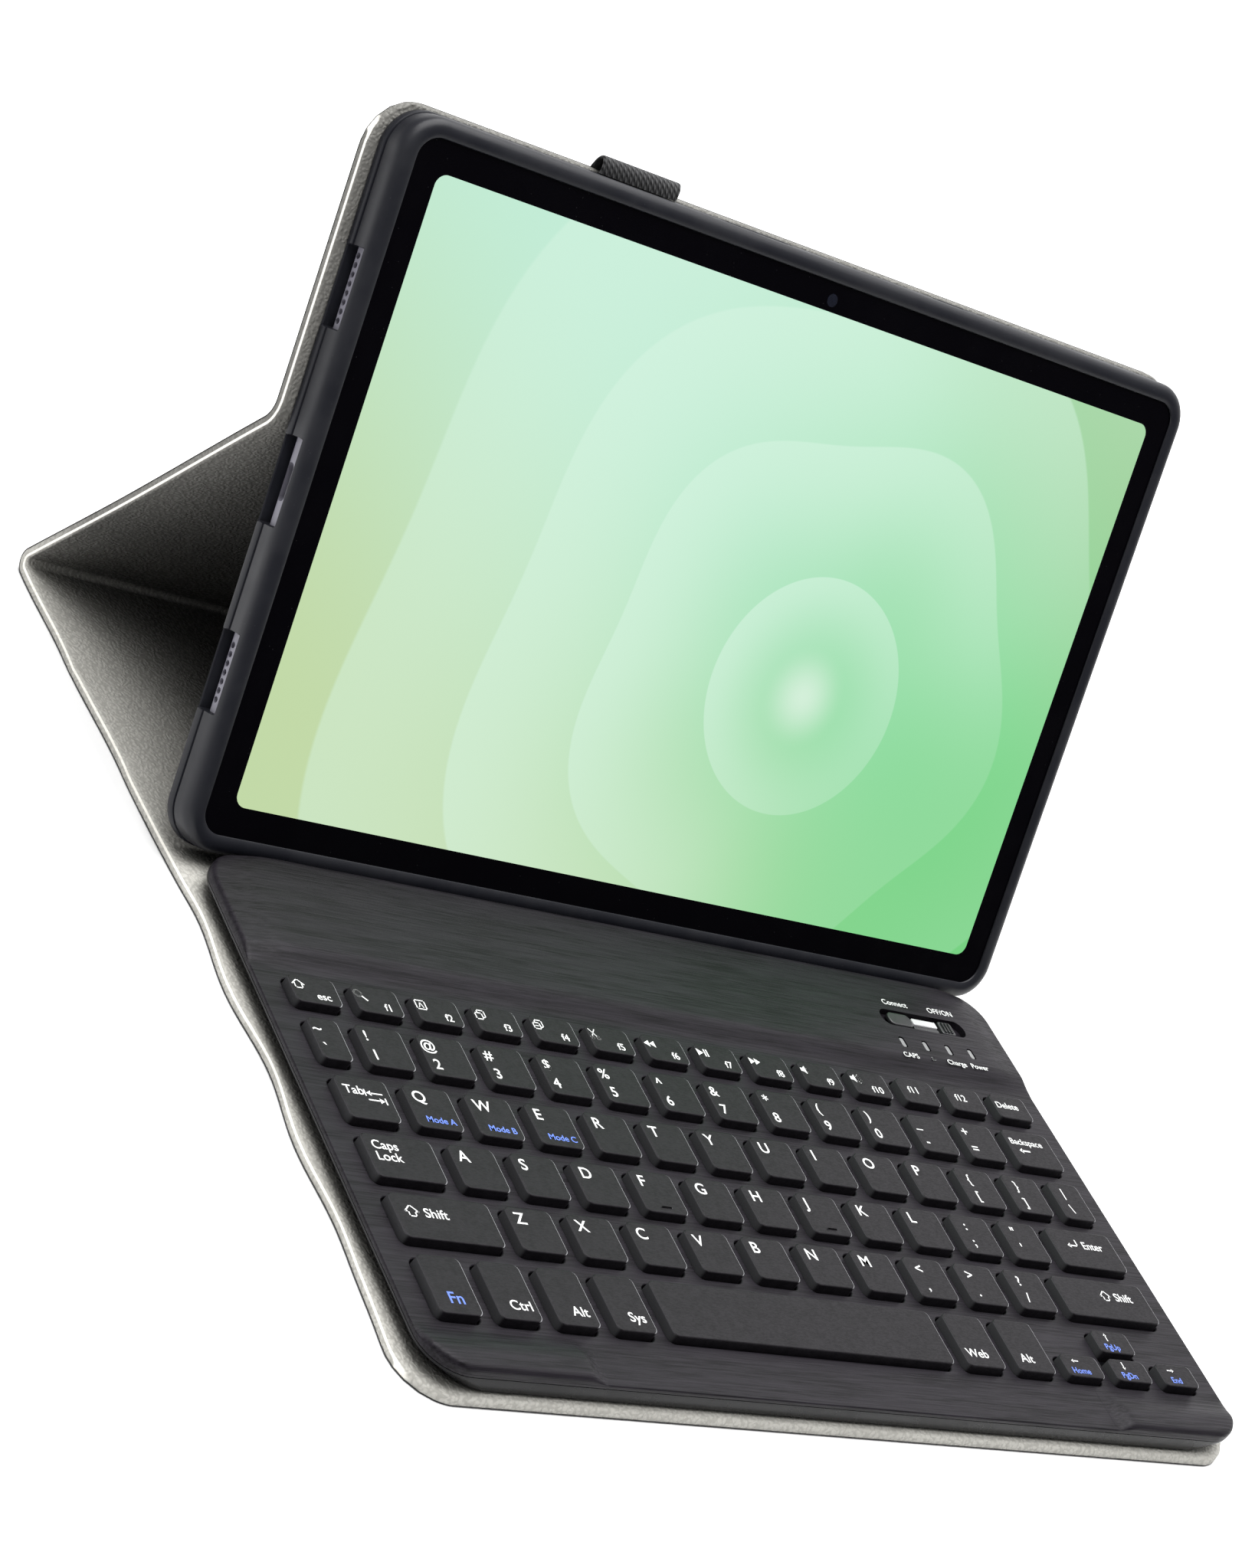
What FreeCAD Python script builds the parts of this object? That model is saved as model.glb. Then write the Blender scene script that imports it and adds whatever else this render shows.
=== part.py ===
import FreeCAD, Part
import math
import os

from FreeCAD import Placement, Rotation, Vector

# Tablet keyboard case, standing open with the tablet in its tray.
# Millimetres. X runs to the user's right, Y away from the user, Z up.
# The origin is the centre of the front cover's underside, which lies on the table.

# Folio cover
FRONT_HALF_WIDTH = 127.5    # the cover widens towards the back
GUSSET_HALF_WIDTHS = (129.5, 131.5)
RISER_HALF_WIDTH = 132.3
UPPER_HALF_WIDTH = 133.5
COVER_FRONT_Y = -89.5
COVER_CORNER_R = 13.0
SKIN = 1.3                  # outer skin of every panel
LINING = 1.2                # inner lining of every panel
LEATHER = SKIN + LINING
MID = LEATHER / 2           # height of the bending line inside a panel

# Crease lines, as (y, z) of each hinge axis
FRONT_CREASE = (90.0, MID)
TAIL_CREASE = (130.5, MID)
REAR_CREASE = (171.0, MID)
TOP_FOLD = (114.9, 91.03)

# Tray and tablet, in the tray's own frame: x across, h up along the screen, n towards the user
TRAY_TILT = 64.17           # degrees from the table to the screen
FOLD_H = 86.2               # the top fold's height along the tray
UPPER_TOP_H = 160.4         # top edge of the upper cover panel
TRAY_HALF_WIDTH = 130.35
TRAY_LOW_H = -11.9
TRAY_HIGH_H = 160.2
TRAY_CORNER_R = 10.5
TRAY_BACK_N = MID           # glued to the lining above the fold
TRAY_RELIEF = 0.5           # the tray's back steps in below the fold
TRAY_FRONT_N = 10.85
TRAY_BACK_WALL = 1.6
TABLET_HALF_WIDTH = 128.4
TABLET_LOW_H = -10.15
TABLET_HIGH_H = 158.25
TABLET_CORNER_R = 8.5
TABLET_BACK_N = 3.05
GLASS_N = 9.35
GLASS_FRONT_N = 9.95
LIP_HALF_WIDTH = 125.6
LIP_LOW_H = -7.8
LIP_HIGH_H = 154.2
LIP_R = 6.0
DISPLAY_HALF_WIDTH = 118.45
DISPLAY_HEIGHT = 148.1
DISPLAY_R = 3.0
DISPLAY_T = 0.05

# Openings in the tray's short sides, as (centre along h, length)
SLOT_MID_H = 73.0
PORT_SLOT = (SLOT_MID_H, 20.0)
SPEAKER_SLOTS = ((SLOT_MID_H - 44.7, 18.4), (SLOT_MID_H + 44.7, 18.4))
SLOT_LOW_N = 2.0
SLOT_HIGH_N = 6.6
SOCKET_N = 4.9              # height of the port and of the speaker holes
SPEAKER_HOLES = (7, 8)      # in the lower and the upper slot
SPEAKER_PITCH = 2.14
SPEAKER_HOLE_R = 0.75
PORT_HALF_LENGTH = 4.5
PORT_HALF_HEIGHT = 1.3
CAMERA_X = 112.0
CAMERA_H = 143.0
CAMERA_OPENING_R = 9.0

# Buttons in the tray's top edge, as (centre x, length)
VOLUME_COVER = (-25.0, 20.0)
POWER_COVER = (40.0, 11.0)
COVER_DEPTH = 3.6           # across the tray's thickness
COVER_PROUD = 0.8

# What each panel stops short of its creases, so that the fold can close
FRONT_GAP = 0.5
TAIL_GAP = 5.3
REAR_GAP = 3.0
TOP_GAP = 1.2

# Rounding of the tray and its fit round the tablet
LIP_ROUND = 2.6
BACK_ROUND = 1.2
POCKET_FIT = 0.1

# Pen loop on the top edge
LOOP_X = -60.2
LOOP_WIDTH = 23.5
LOOP_FOOT_H = 160.45        # both feet stand on the top edge
LOOP_N = 1.3
LOOP_HALF_DEPTH = 2.6
LOOP_RISE = 4.3
LOOP_LEAN = 0.35            # towards the user for each millimetre of rise
LOOP_WALL = 0.8

# Keyboard
BOARD_HALF_WIDTH = 125.0
BOARD_FRONT_Y = -88.0
BOARD_REAR_Y = 61.8
BOARD_FRONT_R = 11.0
BOARD_REAR_R = 10.0
FOOT_T = 0.4
UNDERCUT_X = 7.0            # how far the side walls lean in below the plate
UNDERCUT_TOP_Z = 6.7
SHELL_TOP_Z = 7.3
PLATE_TOP_Z = 8.5
WELL_Z = 5.2                # floor of the space under the keys
STRIP_TOP_Z = 11.0
STRIP_FOOT_Y = 27.0
STRIP_CREST_Y = 32.5
PAD_TOP_Z = 10.2
PAD_REAR_Y = -76.0
PAD_INNER_X = 80.0
PAD_OUTER_X = 122.0
PAD_SLOPE = 3.0

# Keys
KEY_TOP_Z = 10.5
KEY_BOTTOM_Z = 7.1
KEY_GAP = 4.3
KEY_CLEAR = 0.7             # space between a key and its opening
KEY_R = 1.7
PITCH = 17.12
BLOCK_LEFT = -118.0
BLOCK_RIGHT = 117.0
FUNCTION_DEPTH = 8.7
ROW_DEPTH = 12.8
BOTTOM_DEPTH = 16.0
HALF_DEPTH = 7.2

# Front edge of each key row
FUNCTION_Y = 14.0
NUMBER_Y = -3.2
UPPER_Y = -20.4
HOME_Y = -37.2
LOWER_Y = -53.9
BOTTOM_Y = -74.1

# Controls on the rear strip
RECESS_X = 94.5
RECESS_Y = 45.4
RECESS_LENGTH = 31.0
RECESS_WIDTH = 5.8
RECESS_DEPTH = 1.8
CONNECT_X = 86.2
CONNECT_LENGTH = 8.4
LIGHT_X = 95.6
LIGHT_LENGTH = 8.8
SWITCH_X = 103.6
SWITCH_LENGTH = 5.0
CONTROL_WIDTH = 4.6
WINDOW_Y = 36.4
WINDOW_FIRST_X = 81.7
WINDOW_PITCH = 8.4
WINDOW_COUNT = 4
WINDOW_SIZE = (1.8, 3.6)


def prism(points, z0, z1):
    """A straight-sided solid over a closed outline of points and arcs."""
    wire = Part.Wire(points)
    return Part.Face(wire).extrude(Vector(0, 0, z1 - z0)).translated(Vector(0, 0, z0))


def outline(x0, x1, y0, y1, radii):
    """Edges of a rectangle; radii go round from the low-x, low-y corner, against the clock."""
    corners = ((x0, y0), (x1, y0), (x1, y1), (x0, y1))
    starts = (180, 270, 0, 90)
    signs = ((1, 1), (-1, 1), (-1, -1), (1, -1))
    stops = []
    arcs = []
    for (x, y), turn, (sx, sy), r in zip(corners, starts, signs, radii):
        if r == 0:
            stops.append((Vector(x, y, 0), Vector(x, y, 0)))
            arcs.append(None)
            continue
        centre = Vector(x + sx * r, y + sy * r, 0)
        at = [centre + Vector(math.cos(a), math.sin(a), 0) * r
              for a in (math.radians(turn), math.radians(turn + 45), math.radians(turn + 90))]
        stops.append((at[0], at[2]))
        arcs.append(Part.Arc(*at).toShape())
    edges = []
    for i in range(4):
        if arcs[i]:
            edges.append(arcs[i])
        start = stops[i][1]
        end = stops[(i + 1) % 4][0]
        if start.distanceToPoint(end) > 1e-6:
            edges.append(Part.LineSegment(start, end).toShape())
    return edges


def slab(x0, x1, y0, y1, z0, z1, r=0.0):
    """A rectangular block with rounded upright edges; r is one radius or four."""
    radii = r if isinstance(r, tuple) else (r, r, r, r)
    return prism(outline(x0, x1, y0, y1, radii), z0, z1)


def profile_along_x(points, x0, x1):
    """A solid whose (y, z) profile runs from x0 to x1."""
    corners = [Vector(x0, y, z) for y, z in points]
    wire = Part.makePolygon(corners + corners[:1])
    return Part.Face(wire).extrude(Vector(x1 - x0, 0, 0))


def direction(degrees):
    """A unit vector in the YZ plane."""
    a = math.radians(degrees)
    return Vector(0, math.cos(a), math.sin(a))


def between(start, end):
    """Length and slope in degrees of the line from one (y, z) point to another."""
    dy = end[0] - start[0]
    dz = end[1] - start[1]
    return math.hypot(dy, dz), math.degrees(math.atan2(dz, dy))


def lay(shape, axis, slope):
    """Moves a shape drawn flat on Y, with its bending line at z=0, onto a crease's slope."""
    return shape.transformed(Placement(Vector(0, *axis), Rotation(Vector(1, 0, 0), slope)).toMatrix())


def in_tray(shape):
    """Moves a shape from the tray's frame (x, h, n) to where the tray stands."""
    up = direction(TRAY_TILT)
    start = Vector(0, *TOP_FOLD) - up * FOLD_H
    return shape.transformed(Placement(start, Rotation(Vector(1, 0, 0), TRAY_TILT)).toMatrix())


def top_edges(shape, z, test=None):
    """The edges that lie at one height."""
    found = []
    for edge in shape.Edges:
        box = edge.BoundBox
        if abs(box.ZMin - z) < 1e-4 and abs(box.ZMax - z) < 1e-4 and (test is None or test(edge)):
            found.append(edge)
    return found


# ---- folio cover ----

def panel(name, axis, slope, start, length, half_width, radii=(0, 0, 0, 0), cut=None):
    """Skin and lining of one flat panel, from start to length along its slope."""
    parts = {}
    for layer, z0, z1 in (("skin", -MID, -MID + SKIN), ("lining", -MID + SKIN, MID)):
        shape = slab(-half_width, half_width, start, length, z0, z1, radii)
        if cut:
            shape = shape.cut(cut)
        parts[f"{name}_{layer}"] = lay(shape, axis, slope)
    return parts


def folio():
    """The five panels; each stops short of its creases by what the fold needs."""
    parts = {}
    soft = COVER_CORNER_R
    gusset, _ = between(FRONT_CREASE, TAIL_CREASE)
    rise, rise_slope = between(REAR_CREASE, TOP_FOLD)
    front_length = FRONT_CREASE[0] - COVER_FRONT_Y
    parts.update(panel("front_cover", (COVER_FRONT_Y, MID), 0, 0, front_length - FRONT_GAP,
                       FRONT_HALF_WIDTH, (soft, soft, 0, 0)))
    parts.update(panel("gusset_front", FRONT_CREASE, 0, FRONT_GAP, gusset - TAIL_GAP, GUSSET_HALF_WIDTHS[0]))
    parts.update(panel("gusset_rear", TAIL_CREASE, 0, TAIL_GAP, gusset - REAR_GAP, GUSSET_HALF_WIDTHS[1]))
    parts.update(panel("riser", REAR_CREASE, rise_slope, REAR_GAP, rise - TOP_GAP, RISER_HALF_WIDTH))
    camera = Part.makeCylinder(CAMERA_OPENING_R, 20, Vector(CAMERA_X, CAMERA_H - FOLD_H, -10))
    parts.update(panel("upper_cover", TOP_FOLD, TRAY_TILT, TOP_GAP, UPPER_TOP_H - FOLD_H,
                       UPPER_HALF_WIDTH, (0, 0, COVER_CORNER_R, COVER_CORNER_R), camera))
    return parts


# ---- tray ----

def side_slot(side, centre, length):
    """Space of one cut-out through a short side wall of the tray."""
    inner = TABLET_HALF_WIDTH - 1
    outer = TRAY_HALF_WIDTH + 3
    x0, x1 = (inner, outer) if side > 0 else (-outer, -inner)
    return Part.makeBox(x1 - x0, length, SLOT_HIGH_N - SLOT_LOW_N,
                        Vector(x0, centre - length / 2, SLOT_LOW_N))


def cover_space(centre, length, grow):
    """Space of a button cover in the tray's top wall."""
    mid_n = (TABLET_BACK_N + GLASS_N) / 2
    half = COVER_DEPTH / 2 + grow
    return Part.makeBox(length + 2 * grow, 3.0 + COVER_PROUD, 2 * half,
                        Vector(centre - length / 2 - grow, TABLET_HIGH_H + 0.1, mid_n - half))


def tray_shell():
    """Back plate, side walls and rounded lip in one moulding."""
    body = slab(-TRAY_HALF_WIDTH, TRAY_HALF_WIDTH, TRAY_LOW_H, TRAY_HIGH_H,
                TRAY_BACK_N, TRAY_FRONT_N, TRAY_CORNER_R)
    body = body.makeFillet(LIP_ROUND, top_edges(body, TRAY_FRONT_N))
    body = body.makeFillet(BACK_ROUND, top_edges(body, TRAY_BACK_N))
    pocket = slab(-TABLET_HALF_WIDTH - POCKET_FIT, TABLET_HALF_WIDTH + POCKET_FIT,
                  TABLET_LOW_H - POCKET_FIT, TABLET_HIGH_H + POCKET_FIT,
                  TABLET_BACK_N - POCKET_FIT, GLASS_FRONT_N + POCKET_FIT, TABLET_CORNER_R)
    window = slab(-LIP_HALF_WIDTH, LIP_HALF_WIDTH, LIP_LOW_H, LIP_HIGH_H,
                  GLASS_N, TRAY_FRONT_N + 1, LIP_R)
    relief = Part.makeBox(2 * TRAY_HALF_WIDTH + 4, FOLD_H + 1.2 - TRAY_LOW_H + 4, TRAY_RELIEF + 1,
                          Vector(-TRAY_HALF_WIDTH - 2, TRAY_LOW_H - 4, TRAY_BACK_N - 1))
    camera = Part.makeCylinder(CAMERA_OPENING_R, TRAY_BACK_WALL + 3, Vector(CAMERA_X, CAMERA_H, 0))
    tools = [window, relief, camera, side_slot(-1, *PORT_SLOT)]
    tools += [side_slot(side, *slot) for side in (-1, 1) for slot in SPEAKER_SLOTS]
    tools += [cover_space(*cover, 0.35) for cover in (VOLUME_COVER, POWER_COVER)]
    body = body.cut(pocket)
    for tool in tools:
        body = body.cut(tool)
    return body


def button_cover(centre, length):
    """A rubbery cover that stands a little proud of the tray's top edge."""
    shape = cover_space(centre, length, 0)
    box = shape.BoundBox
    low = TABLET_HIGH_H + 1.15
    high = TRAY_HIGH_H + COVER_PROUD
    trimmed = Part.makeBox(box.XLength, high - low, box.ZLength, Vector(box.XMin, low, box.ZMin))
    return trimmed.makeFillet(0.6, [e for e in trimmed.Edges if abs(e.BoundBox.YMin - high) < 1e-4])


def loop_arch(inset):
    """A solid leaning arch over the top edge, drawn in by inset."""
    points = []
    for i in range(13):
        angle = math.pi * i / 12
        rise = (LOOP_RISE - inset) * math.sin(angle)
        depth = (LOOP_HALF_DEPTH - inset) * math.cos(angle) + LOOP_LEAN * rise
        points.append(Vector(LOOP_X - LOOP_WIDTH / 2, LOOP_FOOT_H + rise, LOOP_N + depth))
    curve = Part.BSplineCurve()
    curve.interpolate(points)
    foot = Part.makeLine(points[-1], points[0])
    return Part.Face(Part.Wire([curve.toShape(), foot])).extrude(Vector(LOOP_WIDTH, 0, 0))


def pen_loop():
    """Elastic band over the top edge as it lies when empty, open from end to end."""
    return loop_arch(0).cut(loop_arch(LOOP_WALL))


# ---- tablet ----

def tablet():
    """Body, glass, display, cameras, charging port and speaker grilles."""
    body = slab(-TABLET_HALF_WIDTH, TABLET_HALF_WIDTH, TABLET_LOW_H, TABLET_HIGH_H,
                TABLET_BACK_N, GLASS_N, TABLET_CORNER_R)
    body = body.makeFillet(1.4, top_edges(body, TABLET_BACK_N))
    glass = slab(-TABLET_HALF_WIDTH + 0.5, TABLET_HALF_WIDTH - 0.5, TABLET_LOW_H + 0.5,
                 TABLET_HIGH_H - 0.5, GLASS_N, GLASS_FRONT_N, TABLET_CORNER_R - 0.5)
    display = slab(-DISPLAY_HALF_WIDTH, DISPLAY_HALF_WIDTH, 0, DISPLAY_HEIGHT,
                   GLASS_FRONT_N, GLASS_FRONT_N + DISPLAY_T, DISPLAY_R)
    mid_n = SOCKET_N
    port_depth = 6.0
    mouth = Part.makeBox(port_depth, 2 * PORT_HALF_LENGTH, 2 * PORT_HALF_HEIGHT,
                         Vector(-TABLET_HALF_WIDTH, SLOT_MID_H - PORT_HALF_LENGTH, mid_n - PORT_HALF_HEIGHT))
    mouth = mouth.makeFillet(1.2, [e for e in mouth.Edges if e.BoundBox.XLength > port_depth / 2])
    tongue = Part.makeBox(port_depth - 1, 6.4, 0.7,
                          Vector(-TABLET_HALF_WIDTH + 1, SLOT_MID_H - 3.2, mid_n - 0.35))
    for side in (-1, 1):
        for (centre, _), count in zip(SPEAKER_SLOTS, SPEAKER_HOLES):
            for i in range(count):
                h = centre + (i - (count - 1) / 2) * SPEAKER_PITCH
                start = Vector(side * (TABLET_HALF_WIDTH - 2), h, mid_n)
                body = body.cut(Part.makeCylinder(SPEAKER_HOLE_R, 3, start, Vector(side, 0, 0)))
    lens_r = 4.2
    pit = Part.makeCylinder(lens_r, 1.2, Vector(CAMERA_X, CAMERA_H, TABLET_BACK_N))
    rim = Part.makeCylinder(6.4, 1.2, Vector(CAMERA_X, CAMERA_H, TABLET_BACK_N - 1.2))
    rim = rim.cut(Part.makeCylinder(lens_r, 1.2, Vector(CAMERA_X, CAMERA_H, TABLET_BACK_N - 1.2)))
    front_camera = Part.makeCylinder(1.6, DISPLAY_T, Vector(1.4, 150.9, GLASS_FRONT_N))
    return {
        "tablet_body": body.cut(mouth).cut(pit),
        "tablet_glass": glass,
        "tablet_display": display,
        "port_tongue": tongue,
        "rear_camera_rim": rim,
        "rear_camera_lens": pit,
        "front_camera": front_camera,
    }


# ---- keyboard ----

def board_slab(z0, z1):
    """The keyboard's outline between two heights."""
    radii = (BOARD_FRONT_R, BOARD_FRONT_R, BOARD_REAR_R, BOARD_REAR_R)
    return slab(-BOARD_HALF_WIDTH, BOARD_HALF_WIDTH, BOARD_FRONT_Y, BOARD_REAR_Y, z0, z1, radii)


def key_rows():
    """Every key as name: list of (x0, x1, y0, y1)."""
    def run(left, count, y, depth, pitch=PITCH):
        return [(left + i * pitch, left + (i + 1) * pitch - KEY_GAP, y, y + depth) for i in range(count)]

    step = (BLOCK_RIGHT - BLOCK_LEFT + KEY_GAP) / 14
    function = run(BLOCK_LEFT, 14, FUNCTION_Y, FUNCTION_DEPTH, step)
    keys = {
        "key_escape": [function[0]],
        "keys_function": function[1:13],
        "key_delete": [function[13]],
    }
    # name of the first key, its width, name of the run, its count, name of the last key
    rows = (
        (NUMBER_Y, None, 8.4, "keys_number", 12, "key_backspace"),
        (UPPER_Y, "key_tab", 14.0, "keys_upper", 12, None),
        (HOME_Y, "key_caps_lock", 19.0, "keys_home", 11, "key_enter"),
        (LOWER_Y, "key_shift_left", 26.9, "keys_lower", 10, "key_shift_right"),
    )
    for y, first, width, name, count, last in rows:
        start = BLOCK_LEFT + width + KEY_GAP
        middle = run(start, count, y, ROW_DEPTH)
        head = (BLOCK_LEFT, BLOCK_LEFT + width, y, y + ROW_DEPTH)
        tail = (middle[-1][1] + KEY_GAP, BLOCK_RIGHT, y, y + ROW_DEPTH)
        if first:
            keys[first] = [head]
        else:
            middle = [head] + middle
        if last:
            keys[last] = [tail]
        else:
            middle = middle + [tail]
        keys[name] = middle

    y = BOTTOM_Y
    fn_width = 11.5
    left_pitch = 15.8
    keys["key_function_lock"] = [(BLOCK_LEFT, BLOCK_LEFT + fn_width, y, y + BOTTOM_DEPTH)]
    names = ("key_control", "key_alt_left", "key_home_screen")
    left = run(BLOCK_LEFT + fn_width + KEY_GAP, 3, y, BOTTOM_DEPTH, left_pitch)
    for name, box in zip(names, left):
        keys[name] = [box]
    right = run(BLOCK_RIGHT + KEY_GAP - 5 * PITCH, 5, y, BOTTOM_DEPTH)
    keys["key_space"] = [(left[-1][1] + KEY_GAP, right[0][0] - KEY_GAP, y, y + BOTTOM_DEPTH)]
    keys["key_search"] = [right[0]]
    keys["key_alt_right"] = [right[1]]
    for name, box in zip(("key_left", "key_down", "key_right"), right[2:]):
        keys[name] = [(box[0], box[1], y, y + HALF_DEPTH)]
    down = right[3]
    keys["key_up"] = [(down[0], down[1], y + BOTTOM_DEPTH - HALF_DEPTH, y + BOTTOM_DEPTH)]
    return keys


def key_cap(x0, x1, y0, y1):
    """One key with softened corners and top edge."""
    r = min(KEY_R, (x1 - x0) / 3)
    cap = slab(x0, x1, y0, y1, KEY_BOTTOM_Z, KEY_TOP_Z, r)
    return cap.makeChamfer(0.3, top_edges(cap, KEY_TOP_Z))


def all_keys(rows):
    """Each entry is one key, or a compound of the plain keys of a row."""
    parts = {}
    for name, boxes in rows.items():
        caps = [key_cap(*box) for box in boxes]
        parts[name] = caps[0] if len(caps) == 1 else Part.makeCompound(caps)
    return parts


def key_openings(rows):
    """Openings in the top plate, one round every key; the stacked arrows share one."""
    grow = KEY_CLEAR
    boxes = [box for name, group in rows.items() for box in group if name not in ("key_up", "key_down")]
    up = rows["key_up"][0]
    down = rows["key_down"][0]
    boxes.append((up[0], up[1], down[2], up[3]))
    return [slab(x0 - grow, x1 + grow, y0 - grow, y1 + grow, SHELL_TOP_Z - 1, PLATE_TOP_Z + 1,
                 min(KEY_R + grow, (x1 - x0) / 3)) for x0, x1, y0, y1 in boxes]


def well():
    """The hollow under the keys."""
    margin = KEY_CLEAR + 0.2
    return slab(BLOCK_LEFT - margin, BLOCK_RIGHT + margin, BOTTOM_Y - margin,
                FUNCTION_Y + FUNCTION_DEPTH + margin, WELL_Z, SHELL_TOP_Z, 2.0)


def recess_space(grow=0.0):
    """Pill-shaped recess for the controls."""
    half = RECESS_LENGTH / 2 + grow
    wide = RECESS_WIDTH / 2 + grow
    return slab(RECESS_X - half, RECESS_X + half, RECESS_Y - wide, RECESS_Y + wide,
                STRIP_TOP_Z - RECESS_DEPTH, STRIP_TOP_Z + 1, wide - 0.05)


def windows(grow, z0, z1):
    """The row of indicator windows in front of the recess."""
    half_x = WINDOW_SIZE[0] / 2 + grow
    half_y = WINDOW_SIZE[1] / 2 + grow
    found = []
    for i in range(WINDOW_COUNT):
        x = WINDOW_FIRST_X + i * WINDOW_PITCH
        found.append(slab(x - half_x, x + half_x, WINDOW_Y - half_y, WINDOW_Y + half_y, z0, z1, 0.6))
    return found


def rear_strip():
    """The raised strip behind the keys, with a soft front step."""
    top_r = 1.2
    profile = [(STRIP_FOOT_Y, PLATE_TOP_Z), (STRIP_CREST_Y, STRIP_TOP_Z),
               (BOARD_REAR_Y - top_r, STRIP_TOP_Z), (BOARD_REAR_Y, STRIP_TOP_Z - top_r),
               (BOARD_REAR_Y, PLATE_TOP_Z)]
    strip = profile_along_x(profile, -BOARD_HALF_WIDTH, BOARD_HALF_WIDTH)
    strip = strip.common(board_slab(PLATE_TOP_Z - 1, STRIP_TOP_Z + 1))
    strip = strip.cut(recess_space())
    for space in windows(0.05, STRIP_TOP_Z - 0.8, STRIP_TOP_Z + 1):
        strip = strip.cut(space)
    return strip


def undercut(low_z):
    """The space between the leaning side walls, from front to back."""
    half = BOARD_HALF_WIDTH
    points = [Vector(x, BOARD_FRONT_Y - 1, z) for x, z in
              ((-half + UNDERCUT_X, low_z), (half - UNDERCUT_X, low_z), (half, UNDERCUT_TOP_Z),
               (half, SHELL_TOP_Z), (-half, SHELL_TOP_Z), (-half, UNDERCUT_TOP_Z))]
    wire = Part.makePolygon(points + points[:1])
    return Part.Face(wire).extrude(Vector(0, BOARD_REAR_Y - BOARD_FRONT_Y + 2, 0))


def corner_pad(side):
    """A raised palm pad in a front corner, with sloped inner and rear sides."""
    inner = side * PAD_INNER_X
    outer = side * PAD_OUTER_X
    x0, x1 = sorted((inner, outer))
    z0 = PLATE_TOP_Z
    low = Part.makePolygon([Vector(x, y, z0) for x, y in
                            ((x0, BOARD_FRONT_Y), (x1, BOARD_FRONT_Y), (x1, PAD_REAR_Y),
                             (x0, PAD_REAR_Y), (x0, BOARD_FRONT_Y))])
    inset = [PAD_SLOPE if x == inner else 0.0 for x in (x0, x1)]
    high = Part.makePolygon([Vector(x, y, PAD_TOP_Z) for x, y in
                             ((x0 + inset[0], BOARD_FRONT_Y), (x1 - inset[1], BOARD_FRONT_Y),
                              (x1 - inset[1], PAD_REAR_Y - PAD_SLOPE),
                              (x0 + inset[0], PAD_REAR_Y - PAD_SLOPE), (x0 + inset[0], BOARD_FRONT_Y))])
    pad = Part.makeLoft([low, high], True, True)
    return pad.common(board_slab(z0 - 1, PAD_TOP_Z + 1))


def keyboard(rows):
    """Shell, feet, plate, strip, pads and the fixed lights."""
    low_z = LEATHER + FOOT_T
    shell = board_slab(low_z, SHELL_TOP_Z)
    shell = shell.makeFillet(1.0, top_edges(shell, low_z)).common(undercut(low_z)).cut(well())
    plate = board_slab(SHELL_TOP_Z, PLATE_TOP_Z)
    for space in key_openings(rows):
        plate = plate.cut(space)
    floor_z = STRIP_TOP_Z - RECESS_DEPTH
    light = slab(LIGHT_X - LIGHT_LENGTH / 2, LIGHT_X + LIGHT_LENGTH / 2,
                 RECESS_Y - CONTROL_WIDTH / 2, RECESS_Y + CONTROL_WIDTH / 2, floor_z, STRIP_TOP_Z - 0.2, 0.4)
    feet = []
    for x in (-105, 105):
        for y in (-72, 46):
            feet.append(slab(x - 8, x + 8, y - 4, y + 4, LEATHER, LEATHER + FOOT_T, 3.9))
    return {
        "keyboard_shell": shell,
        "keyboard_feet": Part.makeCompound(feet),
        "keyboard_plate": plate,
        "rear_strip": rear_strip(),
        "corner_pad_left": corner_pad(-1),
        "corner_pad_right": corner_pad(1),
        "status_light": light,
        "indicator_windows": Part.makeCompound(windows(0, STRIP_TOP_Z - 0.8, STRIP_TOP_Z)),
    }


def controls():
    """Connect button and slide switch, which stand clear of the recess floor and walls."""
    travel = 0.8
    low = STRIP_TOP_Z - RECESS_DEPTH + 0.05
    y0 = RECESS_Y - CONTROL_WIDTH / 2
    y1 = RECESS_Y + CONTROL_WIDTH / 2
    button = slab(CONNECT_X - CONNECT_LENGTH / 2, CONNECT_X + CONNECT_LENGTH / 2, y0, y1,
                  low + travel, STRIP_TOP_Z - 0.1, 1.8)
    knob = slab(SWITCH_X - SWITCH_LENGTH / 2, SWITCH_X + SWITCH_LENGTH / 2, y0, y1,
                low, STRIP_TOP_Z + 0.1, 0.8)
    return {"connect_button": button, "switch_knob": knob}


def build():
    """Every sub-part, by node name."""
    rows = key_rows()
    parts = folio()
    local = {"tray_shell": tray_shell(), "pen_loop": pen_loop(),
             "volume_cover": button_cover(*VOLUME_COVER), "power_cover": button_cover(*POWER_COVER)}
    local.update(tablet())
    parts.update({name: in_tray(shape) for name, shape in local.items()})
    parts.update(keyboard(rows))
    parts.update(all_keys(rows))
    parts.update(controls())
    return parts


def main():
    os.makedirs("parts", exist_ok=True)
    for name, shape in build().items():
        shape.exportStep(f"parts/{name}.step")
        print(f"{name:20s} valid {shape.isValid()} solids {len(shape.Solids)} volume {shape.Volume:.1f}")


if __name__ == "__main__":
    main()
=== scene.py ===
import math

import bmesh
import bpy
from mathutils import Matrix, Vector


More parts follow.
